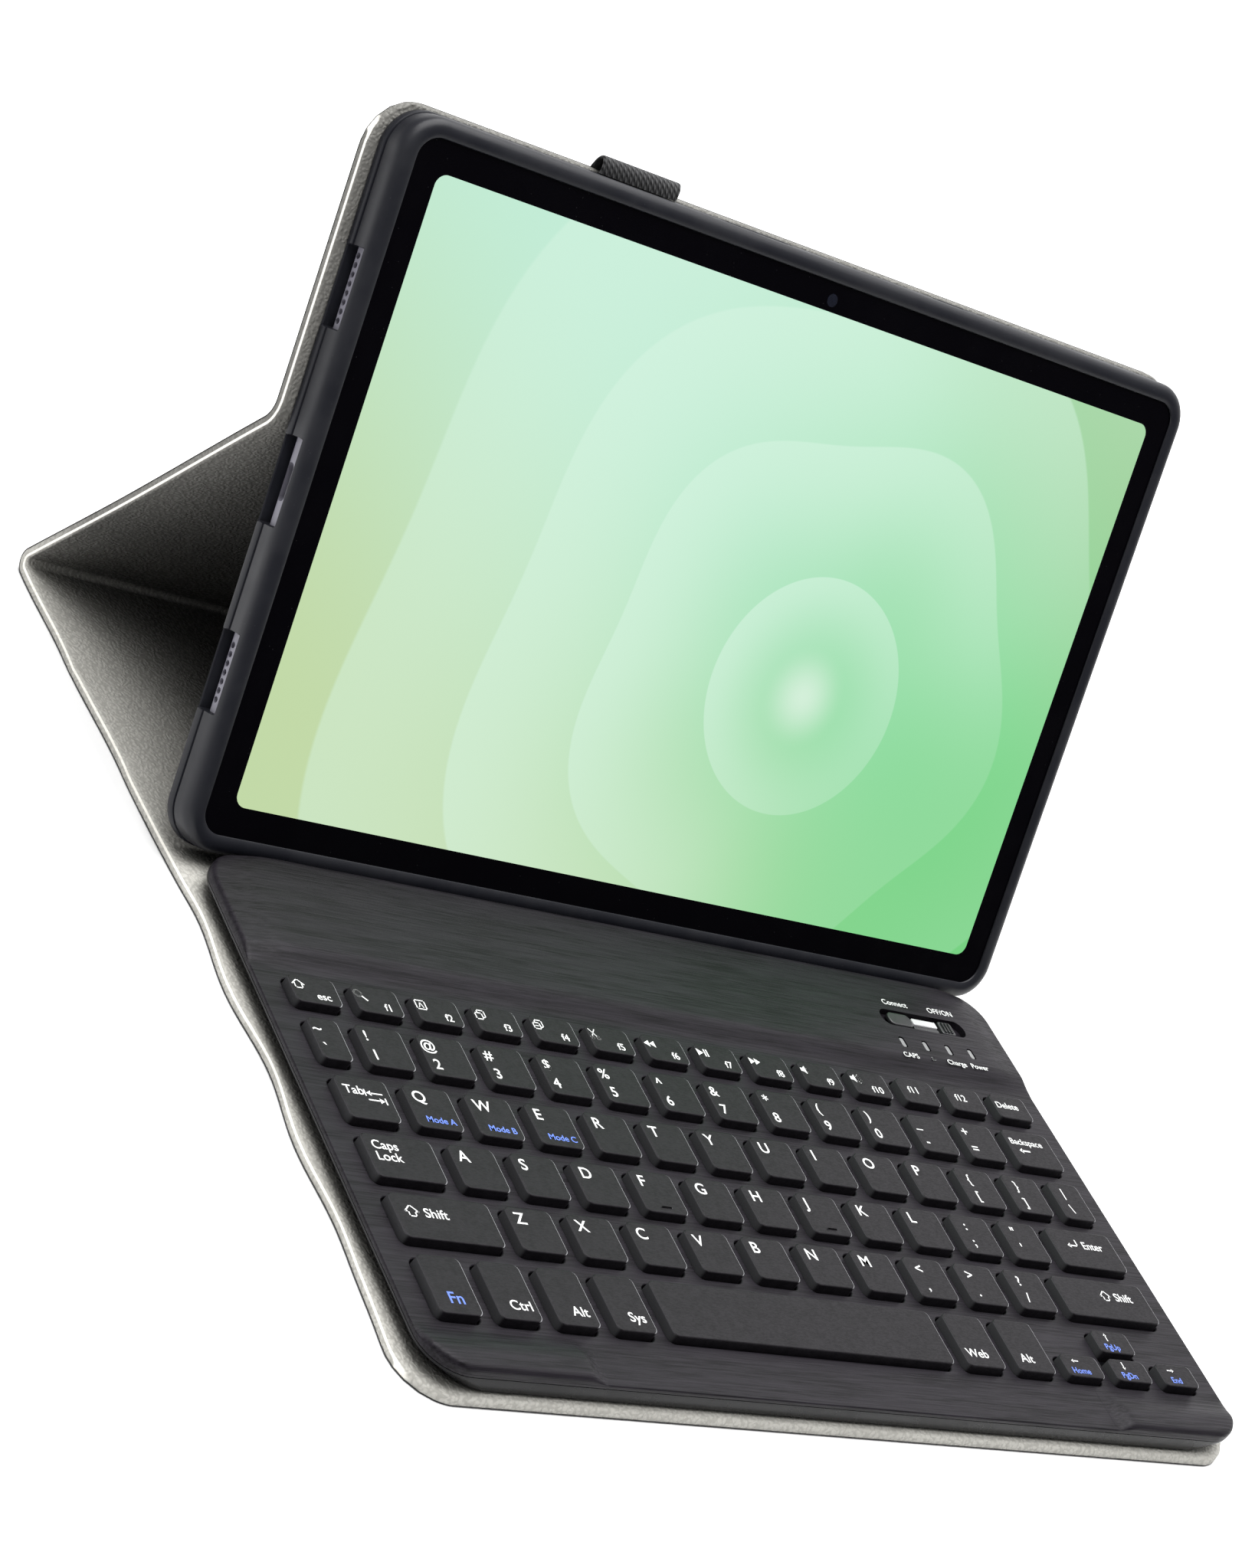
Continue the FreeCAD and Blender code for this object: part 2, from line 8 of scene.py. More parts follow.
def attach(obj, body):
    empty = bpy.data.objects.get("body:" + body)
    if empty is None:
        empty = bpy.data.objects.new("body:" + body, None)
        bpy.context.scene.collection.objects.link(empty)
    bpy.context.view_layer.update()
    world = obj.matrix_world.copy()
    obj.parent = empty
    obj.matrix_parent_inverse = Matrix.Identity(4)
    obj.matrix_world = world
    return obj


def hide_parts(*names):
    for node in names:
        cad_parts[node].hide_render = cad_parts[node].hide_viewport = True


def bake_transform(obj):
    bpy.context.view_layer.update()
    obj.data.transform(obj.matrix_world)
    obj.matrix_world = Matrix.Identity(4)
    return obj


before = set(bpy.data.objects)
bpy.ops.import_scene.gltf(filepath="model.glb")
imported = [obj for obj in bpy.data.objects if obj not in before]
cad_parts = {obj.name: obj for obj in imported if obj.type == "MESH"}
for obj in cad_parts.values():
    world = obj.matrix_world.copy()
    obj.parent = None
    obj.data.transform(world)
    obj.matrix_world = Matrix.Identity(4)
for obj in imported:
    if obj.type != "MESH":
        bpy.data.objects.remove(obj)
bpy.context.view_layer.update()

# Lengths are in millimetres, turned into metres as each mesh is made.
MM = 0.001
# The tray's own frame has x across, h up the screen and n towards the user. The folds are (y, z).
TRAY_TILT = math.radians(64.17)
TOP_FOLD = (114.9, 91.03)
FOLD_H = 86.2
UPPER_TOP_H = 161.3
REAR_CREASE = (171.0, 1.25)
FRONT_CREASE_Y = 90.0
TAIL_CREASE_Y = 130.5
COVER_FRONT_Y = -89.5
COVER_CORNER_R = 13.0
COVER_MID = 1.25

TABLET_HALF = 128.4
TABLET_LOW = -10.15
TABLET_HIGH = 158.25
TABLET_R = 8.5
SLOT_MID = 73.0
SPEAKER_OFFSET = 44.7
SPEAKER_HALF = 9.2
PORT_HALF = 10.0
CAMERA_X = 112.0
CAMERA_H = 143.0
CAMERA_R = 9.0
LEDGE_N = 1.78
BACK_INSET = 3.9
BACK_R = 5.0
BACK_N = (1.8, 2.9)
# name, middle across, length
BUTTON_COVERS = (("volume_cover", -25.0, 20.0), ("power_cover", 40.0, 11.0))

LOOP_X = -60.2
LOOP_HALF = 11.75
LOOP_FOOT_H = 160.3
LOOP_N = 1.3
LOOP_RISE = 3.9
LOOP_DEPTH = 2.2
LOOP_LEAN = 0.35

BOARD_HALF = 125.0
BOARD_FRONT = -88.0
BOARD_REAR = 61.8
BOARD_FRONT_R = 11.0
BOARD_REAR_R = 10.0
SHELL_TOP = 7.3
PLATE_TOP = 8.5
STRIP_TOP = 11.0
STRIP_FOOT = 25.5
STRIP_CREST = 33.0
STRIP_RECESS = 1.8
PAD_TOP = 10.2
PAD_INNER = 78.5
PAD_REAR = -74.9
RELIEF_SKIM = 0.02
RELIEF_SINK = 0.3
INDICATORS_X = tuple(81.7 + 8.4 * i for i in range(4))

KEY_TOP = 10.5
KEY_BOTTOM = 7.1
KEY_GAP = 4.3
KEY_R = 1.7
PITCH = 17.12
BLOCK_LEFT = -118.0
BLOCK_RIGHT = 117.0
FUNCTION_Y = 14.0
FUNCTION_DEPTH = 8.7
ROW_DEPTH = 12.8
BOTTOM_Y = -74.1
BOTTOM_DEPTH = 16.0
BOTTOM_PITCH = 15.8
LOCK_WIDTH = 11.5
HALF_DEPTH = 7.2


# ---- meshes ----

def piece(name, verts, faces, body, slot, material, replaces=(), smooth=math.radians(35)):
    """A mesh piece in millimetres that rides on a body (or on none yet, with body=None)."""
    mesh = bpy.data.meshes.new(name)
    mesh.from_pydata([Vector(v) * MM for v in verts], [], faces)
    bm = bmesh.new()
    bm.from_mesh(mesh)
    bmesh.ops.remove_doubles(bm, verts=bm.verts, dist=1e-7)
    bmesh.ops.recalc_face_normals(bm, faces=bm.faces)
    bm.to_mesh(mesh)
    bm.free()
    return finish_piece(name, mesh, body, slot, material, replaces, smooth)


def finish_piece(name, mesh, body, slot, material, replaces=(), smooth=math.radians(35)):
    """Makes the object of a finished mesh, hides the CAD parts it replaces and hangs it on its body."""
    if smooth:
        mesh.shade_smooth()
        mesh.set_sharp_from_angle(angle=smooth)
    mesh.materials.append(material)
    obj = bpy.data.objects.new(name, mesh)
    bpy.context.scene.collection.objects.link(obj)
    if replaces:
        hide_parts(*replaces)
    if body:
        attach(obj, body)
    return obj


def merged(meshes, name):
    """One mesh of several."""
    bm = bmesh.new()
    for mesh in meshes:
        bm.from_mesh(mesh)
    out = bpy.data.meshes.new(name)
    bm.to_mesh(out)
    bm.free()
    return out


def baked(obj):
    """The mesh that an object's modifiers or curve give; the object is then removed."""
    bpy.context.view_layer.update()
    graph = bpy.context.evaluated_depsgraph_get()
    mesh = bpy.data.meshes.new_from_object(obj.evaluated_get(graph))
    bpy.data.objects.remove(obj)
    return mesh


def ring(x0, x1, y0, y1, r, z, steps=5):
    """Points of a rounded rectangle; r is one radius or four, from the low corner against the clock."""
    radii = r if isinstance(r, tuple) else (r,) * 4
    corners = ((x0, y0, 1, 1, 180), (x1, y0, -1, 1, 270), (x1, y1, -1, -1, 0), (x0, y1, 1, -1, 90))
    points = []
    for (x, y, sx, sy, start), radius in zip(corners, radii):
        for i in range(steps + 1):
            a = math.radians(start + 90 * i / steps)
            points.append(Vector((x + sx * radius + radius * math.cos(a),
                                  y + sy * radius + radius * math.sin(a), z)))
    return points


def loft(rings, closed=False):
    """Vertices and faces through rings of equal count, with both ends capped unless closed."""
    verts = [v for r in rings for v in r]
    n = len(rings[0])
    faces = []
    spans = len(rings) if closed else len(rings) - 1
    for k in range(spans):
        a = k * n
        b = ((k + 1) % len(rings)) * n
        for i in range(n):
            j = (i + 1) % n
            faces.append((a + i, a + j, b + j, b + i))
    if not closed:
        faces.append(tuple(range(n))[::-1])
        faces.append(tuple(range((len(rings) - 1) * n, len(rings) * n)))
    return verts, faces


def joined(blocks):
    """Vertices and faces of several blocks in one piece."""
    verts = []
    faces = []
    for block_verts, block_faces in blocks:
        base = len(verts)
        verts += block_verts
        faces += [tuple(i + base for i in face) for face in block_faces]
    return verts, faces


def rounded_block(x0, x1, y0, y1, z0, z1, r, edge, draft=0.0, steps=5):
    """A block with rounded upright edges and a rounded top edge."""
    rings = [ring(x0, x1, y0, y1, r, z0, steps)]
    for i in range(4):
        a = math.radians(30 * i)
        inset = draft + edge * (1 - math.cos(a))
        z = z1 - edge + edge * math.sin(a)
        rings.append(ring(x0 + inset, x1 - inset, y0 + inset, y1 - inset, max(r - inset, 0.2), z, steps))
    inset = draft + edge * 1.6
    rings.append(ring(x0 + inset, x1 - inset, y0 + inset, y1 - inset, max(r - inset, 0.15), z1, steps))
    return loft(rings)


def plate_with_holes(outline, holes, z0, z1, edge):
    """A flat plate with softened edges all round, outside and in every hole."""
    curve = bpy.data.curves.new("plate", "CURVE")
    curve.dimensions = "2D"
    curve.fill_mode = "BOTH"
    half = (z1 - z0) / 2
    curve.extrude = (half - edge) * MM
    curve.bevel_depth = edge * MM
    curve.bevel_resolution = 1
    curve.offset = -edge * MM
    for loop in [outline] + holes:
        spline = curve.splines.new("POLY")
        spline.points.add(len(loop) - 1)
        spline.use_cyclic_u = True
        for point, at in zip(spline.points, loop):
            point.co = (at[0] * MM, at[1] * MM, 0, 1)
    obj = bpy.data.objects.new("plate", curve)
    bpy.context.scene.collection.objects.link(obj)
    mesh = baked(obj)
    mesh.transform(Matrix.Translation((0, 0, (z0 + half) * MM)))
    return mesh


def cut(mesh, tools):
    """The mesh less each tool's solid."""
    obj = bpy.data.objects.new("cut", mesh)
    bpy.context.scene.collection.objects.link(obj)
    cutters = []
    for verts, faces in tools:
        tool = bpy.data.meshes.new("tool")
        tool.from_pydata([Vector(v) * MM for v in verts], [], faces)
        cutter = bpy.data.objects.new("tool", tool)
        bpy.context.scene.collection.objects.link(cutter)
        cutters.append(cutter)
        modifier = obj.modifiers.new("cut", "BOOLEAN")
        modifier.operation = "DIFFERENCE"
        modifier.solver = "EXACT"
        modifier.object = cutter
    result = baked(obj)
    for cutter in cutters:
        bpy.data.objects.remove(cutter)
    return result


def smoothstep(t):
    """Rises gently from 0 to 1, and is held at both ends."""
    t = min(max(t, 0.0), 1.0)
    return t * t * (3 - 2 * t)


def round_over(d, r):
    """Share of full height at distance d inside an edge of radius r."""
    return math.sqrt(max(0.0, 1 - (1 - min(d, r) / r) ** 2))


# ---- shader groups ----

def group(name, inputs, outputs):
    """An empty shader group with named sockets."""
    tree = bpy.data.node_groups.new(name, "ShaderNodeTree")
    for label, kind, value in inputs:
        socket = tree.interface.new_socket(label, in_out="INPUT", socket_type=kind)
        if value is not None:
            socket.default_value = value
    for label, kind in outputs:
        tree.interface.new_socket(label, in_out="OUTPUT", socket_type=kind)
    return tree, tree.nodes.new("NodeGroupInput"), tree.nodes.new("NodeGroupOutput")


def add(tree, kind, links=(), **values):
    """A node with its settings; links join (source socket, own input)."""
    node = tree.nodes.new(kind)
    for key, value in values.items():
        if hasattr(node, key):
            setattr(node, key, value)
        else:
            node.inputs[key.replace("_", " ")].default_value = value
    for source, target in links:
        tree.links.new(source, node.inputs[target])
    return node


def ramp(tree, source, low, high, out_low=0.0, out_high=1.0):
    """Maps a value from one range to another, held at the ends."""
    node = tree.nodes.new("ShaderNodeMapRange")
    node.interpolation_type = "SMOOTHSTEP"
    for name, value in (("From Min", low), ("From Max", high), ("To Min", out_low), ("To Max", out_high)):
        node.inputs[name].default_value = value
    tree.links.new(source, node.inputs["Value"])
    return node.outputs["Result"]


def math_node(tree, operation, a, b):
    """A maths node on sockets or numbers."""
    node = tree.nodes.new("ShaderNodeMath")
    node.operation = operation
    for i, value in enumerate((a, b)):
        if hasattr(value, "default_value"):
            tree.links.new(value, node.inputs[i])
        else:
            node.inputs[i].default_value = value
    return node.outputs[0]


def stretched(tree, scale):
    """Object coordinates scaled along each axis."""
    place = tree.nodes.new("ShaderNodeTexCoord")
    mapping = tree.nodes.new("ShaderNodeMapping")
    mapping.inputs["Scale"].default_value = scale
    tree.links.new(place.outputs["Object"], mapping.inputs["Vector"])
    return mapping.outputs["Vector"]


FLOAT = "NodeSocketFloat"


def make_pebble_group():
    """Pebbled leather: rounded cells in two sizes, wrinkled by noise."""
    tree, inp, out = group("pebble_grain", [("Cells", FLOAT, 850.0), ("Wrinkle", FLOAT, 0.35)],
                           [("Height", FLOAT), ("Valley", FLOAT), ("Patch", FLOAT)])
    place = stretched(tree, (1, 1, 1))
    warp = add(tree, "ShaderNodeTexNoise", [(place, "Vector")], Scale=260.0, Detail=3.0)
    offset = add(tree, "ShaderNodeVectorMath", [(warp.outputs["Color"], 0)], operation="SCALE")
    offset.inputs["Scale"].default_value = 0.0022
    moved = add(tree, "ShaderNodeVectorMath", [(place, 0), (offset.outputs[0], 1)], operation="ADD")
    cells = add(tree, "ShaderNodeTexVoronoi", [(moved.outputs[0], "Vector"), (inp.outputs["Cells"], "Scale")],
                feature="SMOOTH_F1", Smoothness=0.35)
    fine = add(tree, "ShaderNodeTexNoise", [(place, "Vector")], Scale=2600.0, Detail=2.0)
    broad = add(tree, "ShaderNodeTexNoise", [(place, "Vector")], Scale=38.0, Detail=3.0, Roughness=0.6)
    dome = ramp(tree, cells.outputs["Distance"], 0.1, 0.75, 1.0, 0.0)
    rough = math_node(tree, "MULTIPLY", fine.outputs["Fac"], inp.outputs["Wrinkle"])
    tree.links.new(math_node(tree, "ADD", dome, rough), out.inputs["Height"])
    tree.links.new(ramp(tree, cells.outputs["Distance"], 0.42, 0.72), out.inputs["Valley"])
    tree.links.new(ramp(tree, broad.outputs["Fac"], 0.35, 0.65), out.inputs["Patch"])
    return tree


def make_brush_group():
    """Brushed plastic: fine streaks along the width, in two lengths."""
    tree, inp, out = group("brushed_streaks", [("Length", FLOAT, 14.0), ("Fineness", FLOAT, 2600.0)],
                           [("Streak", FLOAT), ("Band", FLOAT)])
    place = add(tree, "ShaderNodeTexCoord")
    split = add(tree, "ShaderNodeSeparateXYZ", [(place.outputs["Object"], 0)])
    x = math_node(tree, "MULTIPLY", split.outputs["X"], inp.outputs["Length"])
    y = math_node(tree, "MULTIPLY", split.outputs["Y"], inp.outputs["Fineness"])
    z = math_node(tree, "MULTIPLY", split.outputs["Z"], inp.outputs["Fineness"])
    streaks = add(tree, "ShaderNodeCombineXYZ", [(x, 0), (y, 1), (z, 2)])
    streak = add(tree, "ShaderNodeTexNoise", [(streaks.outputs[0], "Vector")],
                 Scale=1.0, Detail=4.0, Roughness=0.7)
    wide = add(tree, "ShaderNodeVectorMath", [(streaks.outputs[0], 0)], operation="MULTIPLY")
    wide.inputs[1].default_value = (0.5, 0.16, 0.16)
    band = add(tree, "ShaderNodeTexNoise", [(wide.outputs[0], "Vector")],
               Scale=1.0, Detail=3.0, Roughness=0.6)
    tree.links.new(ramp(tree, streak.outputs["Fac"], 0.3, 0.7), out.inputs["Streak"])
    tree.links.new(ramp(tree, band.outputs["Fac"], 0.35, 0.65), out.inputs["Band"])
    return tree


def make_speckle_group():
    """Fine moulded texture with faint handling marks."""
    tree, inp, out = group("moulded_speckle", [("Grain", FLOAT, 4200.0)],
                           [("Height", FLOAT), ("Mark", FLOAT), ("Speck", FLOAT)])
    place = stretched(tree, (1, 1, 1))
    grain = add(tree, "ShaderNodeTexNoise", [(place, "Vector"), (inp.outputs["Grain"], "Scale")], Detail=3.0)
    mark = add(tree, "ShaderNodeTexNoise", [(place, "Vector")], Scale=55.0, Detail=5.0, Roughness=0.65)
    speck = add(tree, "ShaderNodeTexVoronoi", [(place, "Vector")], Scale=420.0)
    tree.links.new(grain.outputs["Fac"], out.inputs["Height"])
    tree.links.new(ramp(tree, mark.outputs["Fac"], 0.35, 0.7), out.inputs["Mark"])
    tree.links.new(ramp(tree, speck.outputs["Distance"], 0.03, 0.07, 1.0, 0.0), out.inputs["Speck"])
    return tree


PEBBLE = make_pebble_group()
BRUSH = make_brush_group()
SPECKLE = make_speckle_group()


def make_rim_highlight_group():
    """Mask of a fine line along the left and right rims, by which way the surface faces, for a painted
    highlight.
    """
    tree, inp, out = group("rim_highlight", [("Strength", FLOAT, 1.0)], [("Mask", FLOAT)])
    place = add(tree, "ShaderNodeTexCoord")
    split = add(tree, "ShaderNodeSeparateXYZ", [(place.outputs["Normal"], 0)])
    side = math_node(tree, "ABSOLUTE", split.outputs["X"], 0.0)
    inner = ramp(tree, side, 0.78, 0.87)
    outer = ramp(tree, side, 0.945, 0.965, 1.0, 0.0)
    mask = math_node(tree, "MULTIPLY", math_node(tree, "MULTIPLY", inner, outer), inp.outputs["Strength"])
    tree.links.new(mask, out.inputs["Mask"])
    return tree


RIM_HIGHLIGHT = make_rim_highlight_group()


def start_material(name, roughness, **sockets):
    """A material with its Principled shader and constants set on the sockets."""
    material = bpy.data.materials.new(name)
    material.use_nodes = True
    tree = material.node_tree
    shader = tree.nodes["Principled BSDF"]
    shader.inputs["Roughness"].default_value = roughness
    for key, value in sockets.items():
        shader.inputs[key.replace("_", " ")].default_value = value
    return material, tree, shader


def use(tree, node_group, **values):
    """Places a shader group with its own values."""
    node = tree.nodes.new("ShaderNodeGroup")
    node.node_tree = node_group
    for key, value in values.items():
        node.inputs[key].default_value = value
    return node


def mix(tree, factor, a, b):
    """A colour between two others; each is a socket or an RGB tuple."""
    node = tree.nodes.new("ShaderNodeMix")
    node.data_type = "RGBA"
    tree.links.new(factor, node.inputs["Factor"])
    for label, value in (("A", a), ("B", b)):
        socket = [s for s in node.inputs if s.name == label and s.type == "RGBA"][0]
        if isinstance(value, tuple):
            socket.default_value = (*value, 1)
        else:
            tree.links.new(value, socket)
    return [s for s in node.outputs if s.type == "RGBA"][0]


def bump(tree, shader, height, distance):
    """Raises the surface by a height mask; distance is in metres."""
    node = add(tree, "ShaderNodeBump", [(height, "Height")], Distance=distance, Strength=1.0)
    tree.links.new(node.outputs["Normal"], shader.inputs["Normal"])


# Painted shade on the leather: darker towards the rear and higher up, and darker in nooks found by ambient
# occlusion.
FOLD_SHADE_Y = (0.055, 0.135)
FOLD_SHADE_Z = (0.003, 0.03)
NOOK_REACH = 0.12
NOOK_RANGE = (0.10, 0.36)
PAINTED_SHADE_SHARE = 0.04
RIM_SHINE = 2.0


def leather(name, colour, valley, patch, roughness, depth, cells):
    """Bonded leather with a pebbled face, with painted shade inside the fold (darker towards the rear, higher
    up and in nooks) and a painted highlight along its rim.
    """
    material, tree, shader = start_material(name, roughness, Specular_IOR_Level=0.35)
    grain = use(tree, PEBBLE, Cells=cells)
    base = mix(tree, grain.outputs["Patch"], colour, patch)
    shade = mix(tree, grain.outputs["Valley"], base, valley)
    place = add(tree, "ShaderNodeTexCoord")
    split = add(tree, "ShaderNodeSeparateXYZ", [(place.outputs["Object"], 0)])
    back = ramp(tree, split.outputs["Y"], *FOLD_SHADE_Y, 1.0, 0.95)
    high = ramp(tree, split.outputs["Z"], *FOLD_SHADE_Z, 1.0, 0.34)
    # Painted shade: the colour is pulled towards a dark share of itself by place and by ambient occlusion.
    painted_shade = tuple(PAINTED_SHADE_SHARE * c for c in colour)
    shade = mix(tree, math_node(tree, "MULTIPLY", back, high), painted_shade, shade)
    nook = add(tree, "ShaderNodeAmbientOcclusion", Distance=NOOK_REACH, samples=8)
    deep = mix(tree, ramp(tree, nook.outputs["AO"], *NOOK_RANGE), painted_shade, shade)
    # Painted highlight: the side-facing rim is lightened towards twice the patch colour.
    rim = use(tree, RIM_HIGHLIGHT)
    edged = mix(tree, rim.outputs["Mask"], deep, tuple(min(1.0, RIM_SHINE * c) for c in patch))
    tree.links.new(edged, shader.inputs["Base Color"])
    tree.links.new(ramp(tree, grain.outputs["Valley"], 0, 1, roughness, min(roughness + 0.2, 1)),
                   shader.inputs["Roughness"])
    bump(tree, shader, grain.outputs["Height"], depth)
    return material


def make_glint_group():
    """Masks, by which way the surface faces: a painted glint on the right-hand top edges, and painted light
    on the left-facing flanks.
    """
    tree, inp, out = group("edge_glint", [("Strength", FLOAT, 1.0)],
                           [("Mask", FLOAT), ("Flank", FLOAT)])
    place = add(tree, "ShaderNodeTexCoord")
    split = add(tree, "ShaderNodeSeparateXYZ", [(place.outputs["Normal"], 0)])
    side = ramp(tree, split.outputs["X"], 0.12, 0.45)
    top = ramp(tree, split.outputs["Z"], 0.2, 0.5)
    mask = math_node(tree, "MULTIPLY", math_node(tree, "MULTIPLY", side, top), inp.outputs["Strength"])
    tree.links.new(mask, out.inputs["Mask"])
    tree.links.new(ramp(tree, split.outputs["X"], -0.85, -0.45, 1.0, 0.0), out.inputs["Flank"])
    return tree


GLINT = make_glint_group()


# Painted light: the tone of the left-facing flanks as if lit from the left, and the painted glint on the
# right-hand edges.
FLANK_PAINTED_LIGHT = (0.045, 0.045, 0.048)
GLINT_PAINTED_HIGHLIGHT = (0.42, 0.42, 0.44)


def brushed(name, dark, light, roughness, depth, length, fineness, glints=False):
    """Black plastic with a brushed face; with glints, the right-hand edges get a painted glint and the
    left-facing flanks painted light.
    """
    material, tree, shader = start_material(name, roughness, Specular_IOR_Level=0.13)
    streaks = use(tree, BRUSH, Length=length, Fineness=fineness)
    fine = mix(tree, streaks.outputs["Streak"], dark, light)
    bright = tuple(1.5 * c for c in light)
    blend = mix(tree, ramp(tree, streaks.outputs["Band"], 0, 1, 0.0, 0.35), fine, bright)
    rough = ramp(tree, streaks.outputs["Streak"], 0, 1, roughness + 0.07, roughness - 0.05)
    if glints:
        edge = use(tree, GLINT)
        # Painted light on the left-facing flanks, then a painted glint on the right-hand top edges.
        blend = mix(tree, edge.outputs["Flank"], blend, FLANK_PAINTED_LIGHT)
        blend = mix(tree, edge.outputs["Mask"], blend, GLINT_PAINTED_HIGHLIGHT)
    tree.links.new(blend, shader.inputs["Base Color"])
    tree.links.new(rough, shader.inputs["Roughness"])
    bump(tree, shader, streaks.outputs["Streak"], depth)
    return material


def moulded(name, colour, mark, roughness, depth, grain=4200.0, **sockets):
    """Moulded plastic or rubber with fine texture and faint marks."""
    material, tree, shader = start_material(name, roughness, **sockets)
    speckle = use(tree, SPECKLE, Grain=grain)
    base = mix(tree, speckle.outputs["Mark"], colour, mark)
    dots = mix(tree, speckle.outputs["Speck"], base, tuple(min(1.0, 1.6 * c + 0.01) for c in mark))
    tree.links.new(dots, shader.inputs["Base Color"])
    tree.links.new(ramp(tree, speckle.outputs["Mark"], 0, 1, roughness - 0.05, roughness + 0.06),
                   shader.inputs["Roughness"])
    bump(tree, shader, speckle.outputs["Height"], depth)
    return material


def woven_elastic():
    """Ribbed elastic: cords along the band, crossed by fine threads."""
    material, tree, shader = start_material("woven elastic", 0.75, Sheen_Weight=0.25)
    place = stretched(tree, (1, 1, 1))
    ribs = add(tree, "ShaderNodeTexWave", [(place, "Vector")], bands_direction="X", Scale=260.0,
               Distortion=0.4, Detail=1.0)
    turn = add(tree, "ShaderNodeTexWave", [(place, "Vector")], bands_direction="DIAGONAL", Scale=330.0,
               Distortion=0.6, Detail=1.0)
    weave = math_node(tree, "MULTIPLY", ribs.outputs["Fac"], turn.outputs["Fac"])
    speckle = use(tree, SPECKLE, Grain=6000.0)
    worn = mix(tree, speckle.outputs["Mark"], (0.006, 0.006, 0.007), (0.009, 0.009, 0.010))
    colour = mix(tree, weave, worn, (0.020, 0.020, 0.023))
    tree.links.new(colour, shader.inputs["Base Color"])
    bump(tree, shader, weave, 0.00025)
    return material


# The point of light, and the rings round it: (radius, five soft corners or plain, share of light)
SPOT_X = 0.034
SPOT_H = 0.102
SCREEN_RINGS = ((0.140, True, 0.30), (0.102, True, 0.34), (0.068, True, 0.36), (0.031, False, 0.42))
RING_CORNERS = 5.0
RING_TURN = 0.6
RING_SWELL = 0.055
RING_LIGHT = (0.72, 0.95, 0.80)
SPOT_LIGHT = (0.86, 0.97, 0.88)


def tablet_screen():
    """A lit screen: soft rounded rings of light round a point, over a mint to green ground."""
    material, tree, shader = start_material("lit screen", 0.3, Specular_IOR_Level=0.08)
    place = tree.nodes.new("ShaderNodeTexCoord")
    turn = add(tree, "ShaderNodeMapping", [(place.outputs["Object"], "Vector")])
    turn.inputs["Rotation"].default_value = (-TRAY_TILT, 0, 0)
    split = add(tree, "ShaderNodeSeparateXYZ", [(turn.outputs[0], 0)])
    dx = math_node(tree, "SUBTRACT", split.outputs["X"], SPOT_X)
    dh = math_node(tree, "SUBTRACT", split.outputs["Y"], SPOT_H)
    slant = math_node(tree, "SUBTRACT", dx, math_node(tree, "MULTIPLY", dh, 0.6))
    across = ramp(tree, slant, -0.15, 0.09)
    ground = mix(tree, across, (0.56, 0.87, 0.70), (0.20, 0.70, 0.27))
    low = ramp(tree, math_node(tree, "ADD", math_node(tree, "MULTIPLY", dx, 0.7), dh), -0.14, 0.02, 1.0, 0.0)
    ground = mix(tree, low, ground, (0.56, 0.72, 0.40))
    corner = ramp(tree, math_node(tree, "SUBTRACT", dx, dh), 0.02, 0.13)
    ground = mix(tree, corner, ground, (0.14, 0.64, 0.18))
    far = ramp(tree, math_node(tree, "ADD", dx, dh), 0.07, 0.17)
    ground = mix(tree, far, ground, (0.28, 0.60, 0.24))
    squares = math_node(tree, "ADD", math_node(tree, "MULTIPLY", dx, dx),
                        math_node(tree, "MULTIPLY", dh, dh))
    reach = math_node(tree, "SQRT", squares, 0.0)
    angle = math_node(tree, "ARCTAN2", dh, dx)
    corners = math_node(tree, "ADD", math_node(tree, "MULTIPLY", angle, RING_CORNERS), RING_TURN)
    turns = math_node(tree, "COSINE", corners, 0.0)
    wave = math_node(tree, "ADD", math_node(tree, "MULTIPLY", turns, RING_SWELL), 1.0)
    shaped = math_node(tree, "DIVIDE", reach, wave)
    upper = ramp(tree, math_node(tree, "SUBTRACT", dh, dx), -0.09, 0.06, 0.35, 1.3)
    for radius, cornered, share in SCREEN_RINGS:
        source = shaped if cornered else reach
        inside = ramp(tree, source, radius * 0.992, radius, 1.0, 0.0)
        glow = math_node(tree, "MULTIPLY", ramp(tree, source, radius * 0.3, radius, 0.05, share), upper)
        ground = mix(tree, math_node(tree, "MULTIPLY", inside, glow), ground, RING_LIGHT)
    spark = ramp(tree, reach, 0.0, 0.014, 0.6, 0.0)
    ground = mix(tree, spark, ground, SPOT_LIGHT)
    tree.links.new(ground, shader.inputs["Emission Color"])
    shader.inputs["Emission Strength"].default_value = 0.95
    shader.inputs["Base Color"].default_value = (0.01, 0.01, 0.01, 1)
    return material


LINING = leather("pebbled grey lining", (0.54, 0.528, 0.488), (0.41, 0.400, 0.368), (0.50, 0.488, 0.450),
                 0.62, 0.0002, 1050.0)
SKIN = leather("grained black skin", (0.020, 0.020, 0.021), (0.012, 0.012, 0.013), (0.025, 0.025, 0.026),
               0.55, 0.00012, 1300.0)
ELASTIC = woven_elastic()
TRAY = moulded("satin tray rubber", (0.0085, 0.0090, 0.0128), (0.0108, 0.0113, 0.0150), 0.40, 0.00002,
               Specular_IOR_Level=0.27)
METAL = moulded("satin tablet metal", (0.17, 0.165, 0.20), (0.19, 0.185, 0.22), 0.40, 0.00001)
GLASS = moulded("black tablet glass", (0.0012, 0.001, 0.0018), (0.0014, 0.0012, 0.002), 0.15, 0.0,
                Specular_IOR_Level=0.06)
SCREEN = tablet_screen()
LENS = moulded("camera lens", (0.003, 0.004, 0.010), (0.008, 0.010, 0.022), 0.08, 0.0, Coat_Weight=0.3)
